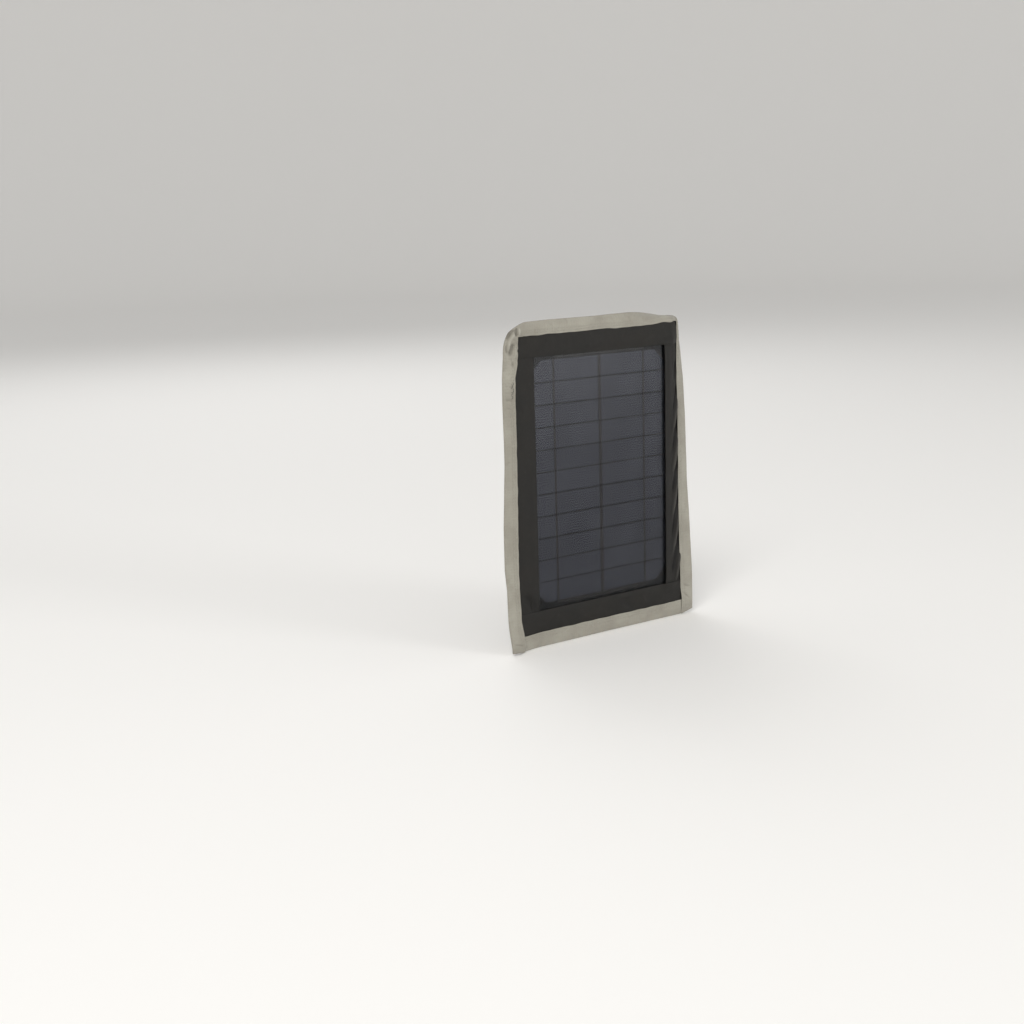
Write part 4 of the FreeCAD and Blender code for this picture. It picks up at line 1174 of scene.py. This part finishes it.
def make_hook_tape(name, node):
    low, high = span(node)
    selvedge = 1.8
    base = 0.55
    grid_x, grid_z = rectangle(low, high, 1.5, 1.0)
    inside = np.minimum(grid_z - low[2], high[2] - grid_z)
    out = CLOTH_BACK - base + 0.2 * (1 - ramp(inside, 0, selvedge))
    out = out + 0.05 * ripple(grid_x, grid_z, 6, 4)
    tape = grid_object(f"{name}_tape", lay(grid_x, grid_z, out), np.stack([grid_x, grid_z], -1))
    thicken(tape, base - 0.12)
    finished(tape, HOOKS, stands_for=[node])

    random.seed(7)
    field = HookField()
    rows = int((high[2] - low[2] - 2 * selvedge - 1.4) / HOOK_PITCH[1]) + 1
    columns = int((high[0] - low[0] - 3) / HOOK_PITCH[0]) + 1
    places = []
    for row, x, z in hook_places(low[0] + 1.5, low[2] + selvedge + 0.7, rows, columns):
        x, z = x + random.uniform(-0.12, 0.12), z + random.uniform(-0.1, 0.1)
        if x < high[0] - 0.8:
            places.append((x, z, row))
    spots = np.array(places)
    roots = lay(spots[:, 0], spots[:, 1], CLOTH_BACK - base + 0.05)
    normals = front_of(spots[:, 0], spots[:, 1])
    for (*_, row), root, normal in zip(places, roots, normals):
        up = -normal
        way = 1 if row % 2 else -1
        ahead = np.cross((0, 0, 1.0), up) * way
        ahead /= np.linalg.norm(ahead)
        side = np.cross(up, ahead)
        field.hook(root, side, up, ahead)
    field.object(f"{name}_hooks", HOOKS, "hook_tape")

    thread = Thread()

    def draw(start, finish):
        path = np.linspace(start, finish, 60)
        thread.row(path, CLOTH_BACK - base + 0.05, face=-1, jitter=0.05)

    thread.box(low, high, 1.0, draw)
    thread.object(f"{name}_stitches", BLACK_THREAD, "thread")


def make_loop_patch():
    low, high = span("flap_loop_patch")
    grid_x, grid_z = rectangle(low, high, 0.55, 0.55)
    edge = np.minimum.reduce([grid_x - low[0], high[0] - grid_x, grid_z - low[2], high[2] - grid_z])
    fuzz = ramp(edge, 1.2, 2.4) * (0.35 + 0.22 * ripple(grid_x, grid_z, 1.1, 6))
    y = low[1] + 0.5 + fuzz
    points = np.stack([grid_x, y, grid_z], -1) * MM
    patch = grid_object("loop_patch", points, np.stack([grid_x, grid_z], -1))
    thicken(patch, LOOP_THICK)
    finished(patch, LOOPS, stands_for=["flap_loop_patch"])
    thread = Thread()

    def draw(start, finish):
        x, z = np.linspace(start, finish, 40).T
        path = np.stack([x, np.full(40, low[1] + 0.55), z], -1)
        thread.rows_on(path, np.tile((0.0, 1.0, 0.0), (40, 1)), length=2.2)

    thread.box(low, high, 0.8, draw)
    thread.object("loop_patch_stitches", BLACK_THREAD, "thread")


# ---------------------------------------------------------------- flap
def rounded_path(corners, radius, size=0.8):
    """A path of straight runs whose corners are rounded by quadratic curves, in y and z."""
    corners = [np.array(corner, float) for corner in corners]
    path = [corners[0]]
    for before, corner, after in zip(corners, corners[1:], corners[2:]):
        back, on = before - corner, after - corner
        reach = min(radius, np.linalg.norm(back) * 0.48, np.linalg.norm(on) * 0.48)
        start = corner + back / np.linalg.norm(back) * reach
        finish = corner + on / np.linalg.norm(on) * reach
        for t in np.linspace(0, 1, 7):
            path.append((1 - t) ** 2 * start + 2 * t * (1 - t) * corner + t * t * finish)
    path.append(corners[-1])
    path = np.array(path)
    reach = running_length(path)
    at = steps(0, reach[-1], size)
    return along_path(at, reach, path)


def flap_path():
    low, high = span("cover_flap")
    lid = span("case_lid")
    patch = span("flap_hook_patch")
    seam = high[2]
    shoulder = lid[1][2] + 2
    knee = lid[0][2] - 2
    face = high[1] - 0.1
    foot = patch[1][1] + 0.75
    return rounded_path([
        (low[1] + 0.75, seam + 6), (low[1] + 0.75, seam - 0.5), (face, shoulder), (face, knee),
        (foot, knee - 12), (foot, low[2]),
    ], 5), low, high


def make_flap():
    path, low, high = flap_path()
    x = steps(low[0], high[0], 1.1)
    rows, columns = len(path), len(x)
    ahead = np.gradient(path, axis=0)
    ahead /= np.linalg.norm(ahead, axis=1, keepdims=True)
    outward = np.stack([-ahead[:, 1], ahead[:, 0]], -1)
    along = running_length(path)
    grid_x = np.repeat(x[None, :], rows, 0)
    grid_s = np.repeat(along[:, None], columns, 1)
    edge = np.minimum(grid_x - low[0], high[0] - grid_x)
    tip = along[-1] - grid_s
    hem = 1 - ramp(np.minimum(edge, tip), 7.2, 7.7)
    free = ramp(grid_s, 8, 20)
    puff = free * (0.35 * ripple(grid_x, grid_s, 26, 14) + 0.12 * ripple(grid_x, grid_s, 8, 15))
    out = np.minimum(puff, 0.15) + 0.22 * hem * free
    y = path[:, None, 0] + outward[:, None, 0] * out
    z = path[:, None, 1] + outward[:, None, 1] * out
    points = np.stack([grid_x, y, z], -1) * MM
    flap = grid_object("flap_cloth", points, np.stack([grid_x, grid_s], -1), flip=True)
    thicken(flap, FLAP_THICK)
    finished(flap, FLAP_CLOTH, None, ["cover_flap"])

    thread = Thread()
    inset = 6.2

    def run(start, finish):
        """A row of stitches between two (x, distance) places on the flap."""
        at = np.linspace(0, 1, 160)
        run_x = start[0] + (finish[0] - start[0]) * at
        run_s = start[1] + (finish[1] - start[1]) * at
        centre = np.column_stack([run_x, along_path(run_s, along, path)])
        up = np.column_stack([np.zeros(len(at)), along_path(run_s, along, outward)])
        thread.rows_on(centre + up * 0.3, up)

    left, right, last = low[0] + inset, high[0] - inset, along[-1] - inset
    turns = [(left, 7), (left, last), (right, last), (right, 7)]
    for start, finish in zip(turns, turns[1:]):
        run(start, finish)
    thread.object("flap_stitches", BLACK_THREAD, "thread", "cover_flap")
    seam_thread = Thread()
    for inset_z in (1.6, 4.2):
        at = np.linspace(low[0] + 1.5, high[0] - 1.5, 80)
        centre = np.stack([at, np.full(80, path[0, 0] + 0.1), np.full(80, path[0, 1] - inset_z)], -1)
        seam_thread.rows_on(centre, np.tile((0.0, 1.0, 0.0), (80, 1)))
    seam_thread.object("flap_seam_stitches", BLACK_THREAD, "thread", "panel")
    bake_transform(flap)


def make_flap_patch():
    low, high = span("flap_hook_patch")
    grid_x, grid_z = rectangle(low, high, 1.0, 1.0)
    y = np.full(grid_x.shape, high[1] - 0.5)
    points = np.stack([grid_x, y, grid_z], -1) * MM
    patch = grid_object("flap_patch_tape", points, np.stack([grid_x, grid_z], -1), flip=True)
    thicken(patch, FLAP_PATCH_THICK)
    finished(patch, HOOKS, "cover_flap", ["flap_hook_patch"])
    random.seed(9)
    field = HookField()
    up = np.array((0, -1.0, 0))
    rows = int((high[2] - low[2] - 3) / HOOK_PITCH[1]) + 1
    columns = int((high[0] - low[0] - 3) / HOOK_PITCH[0]) + 1
    for row, hook_x, hook_z in hook_places(low[0] + 1.5, low[2] + 1.5, rows, columns):
        root = np.array((hook_x, high[1] - 0.45, hook_z)) * MM
        ahead = np.array((1.0 if row % 2 else -1.0, 0, 0))
        field.hook(root, np.cross(up, ahead), up * 0.55, ahead)
    field.object("flap_patch_hooks", HOOKS, "hook_tape", "cover_flap")


# ---------------------------------------------------------------- carried-over nodes
def dress(material, *nodes):
    """Give CAD nodes a material; their shapes and places stay."""
    for node in nodes:
        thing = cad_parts[node]
        if not thing.material_slots:
            thing.data.materials.append(material)
        for place in thing.material_slots:
            place.material = material


def make_encapsulant(material):
    """The clear layer between cells and film, a hair thinner than its gap so no faces coincide."""
    low, high = span("front_encapsulant")
    hair = 0.02
    z = steps(low[2] + hair, high[2] - hair, 6)
    x = steps(low[0] + hair, high[0] - hair, 6)
    grid_x, grid_z = np.meshgrid(x, z)
    points = np.stack([grid_x, np.full(grid_x.shape, low[1] + hair), grid_z], -1) * MM
    layer = grid_object("encapsulant_layer", points, np.stack([grid_x, grid_z], -1), flip=True)
    thicken(layer, high[1] - low[1] - 2 * hair)
    finished(layer, material, stands_for=["front_encapsulant"])


# Each plastic: its colour, roughness, size and depth of grain, and nodes. The metals have no grain.
PLASTICS = {
    "case_plastic": ((30, 30, 32), 0.52, 0.35, 0.03, "case_base", "case_lid"),
    "seal_rubber": ((20, 20, 21), 0.7, 0.5, 0.03, "lid_seal"),
    "cover_rubber": ((36, 36, 38), 0.62, 0.6, 0.02, "port_cover"),
    "lead_insulation": ((150, 40, 32), 0.4, 0.8, 0.03, "lead_wires"),
    "ferrite": ((44, 44, 47), 0.6, 0.5, 0.03, "inductor"),
    "moulded_epoxy": ((26, 26, 28), 0.45, 0.3, 0.03, "regulator_chip", "blocking_diode"),
    "lamp": ((228, 222, 196), 0.3, 1.0, 0.01, "status_led"),
    "socket_insert": ((222, 222, 218), 0.4, 0.8, 0.01, "usb_tongue"),
}
METALS = {
    "steel": ((176, 176, 178), 0.28, "lid_screws", "usb_shell", "port_cover_pin"),
    "can_sleeve": ((196, 196, 200), 0.32, "capacitors"),
    "gold": ((212, 172, 96), 0.22, "usb_contacts"),
}


def dress_nodes():
    dress(board_material(), "backsheet_board")
    sealed = clear_material("encapsulant", (0.985, 0.985, 0.98), 0.5, ENCAPSULANT_MIRROR)
    dress(sealed, "rear_encapsulant")
    make_encapsulant(sealed)
    film = clear_material("front_film", (0.97, 0.975, 0.985), 0.3, FILM_MIRROR, haze=0.0065)
    dress(film, "front_film")
    for number in range(1, 12):
        node = f"cell_{number:02d}"
        dress(cell_material(number, *span(node)), node)
    dress(
        ribbon_material(), "cell_ribbons_left", "cell_ribbons_centre", "cell_ribbons_right",
        "cross_ribbon_top", "cross_ribbon_bottom",
    )
    pipe = clear_material("clear_pipe", (0.9, 0.95, 0.97), 0.05, PIPE_MIRROR)
    dress(pipe, "light_pipe")
    dress(circuit_material(), "circuit_board")
    for name, (colour, roughness, grain, depth, *nodes) in PLASTICS.items():
        dress(plastic_material(name, linear(*colour), roughness, grain, depth), *nodes)
    for name, (colour, roughness, *nodes) in METALS.items():
        dress(metal_material(name, linear(*colour), roughness), *nodes)


# ---------------------------------------------------------------- studio
def make_studio():
    """A pale round cove: a floor that curves up into a wall all round, and soft light."""
    floor_z = cad_box[0].z - 0.0006
    floor_reach, curve, wall = 6.0, 2.0, 3.5
    profile = [(1.0, 0.0), (floor_reach, 0.0)]
    for angle in np.radians(np.linspace(0, 90, 13)[1:]):
        profile.append((floor_reach + curve * math.sin(angle), curve * (1 - math.cos(angle))))
    profile.append((floor_reach + curve, wall))
    turns = np.radians(np.linspace(0, 360, 73))
    points = [
        (reach * math.cos(turn), reach * math.sin(turn), floor_z + height)
        for reach, height in profile for turn in turns
    ]
    middle = tuple(range(len(turns) - 1))
    sweep = new_object("studio_sweep", points, [*grid_faces(len(profile), len(turns)), middle])
    shade = Shade("pale_sweep", linear(250, 249, 247), 0.9, Specular_IOR_Level=0.1)
    sweep.data.materials.append(shade.finish())

    world = bpy.data.worlds.new("studio")
    bpy.context.scene.world = world
    world.use_nodes = True
    background = world.node_tree.nodes["Background"]
    background.inputs["Color"].default_value = (1, 0.995, 0.985, 1)
    background.inputs["Strength"].default_value = 0.5
    target = (0, 0, -0.1)
    make_light("key", (-1.6, -1.3, 1.9), target, 1.2, 34, (1, 0.985, 0.96))
    make_light("sheen", (2.45, -4.5, 0.75), target, 1.6, 78)
    make_light("rim", (0.6, 2.2, 1.8), target, 1.8, 16)
    bpy.context.scene.view_settings.view_transform = "Standard"


make_strips()
make_back_cloth()
make_foam()
make_binding()
make_loose_threads()
make_hook_tape("upper_hook", "hook_tape_upper")
make_hook_tape("lower_hook", "hook_tape_lower")
make_loop_patch()
make_flap()
make_flap_patch()
dress_nodes()
make_studio()
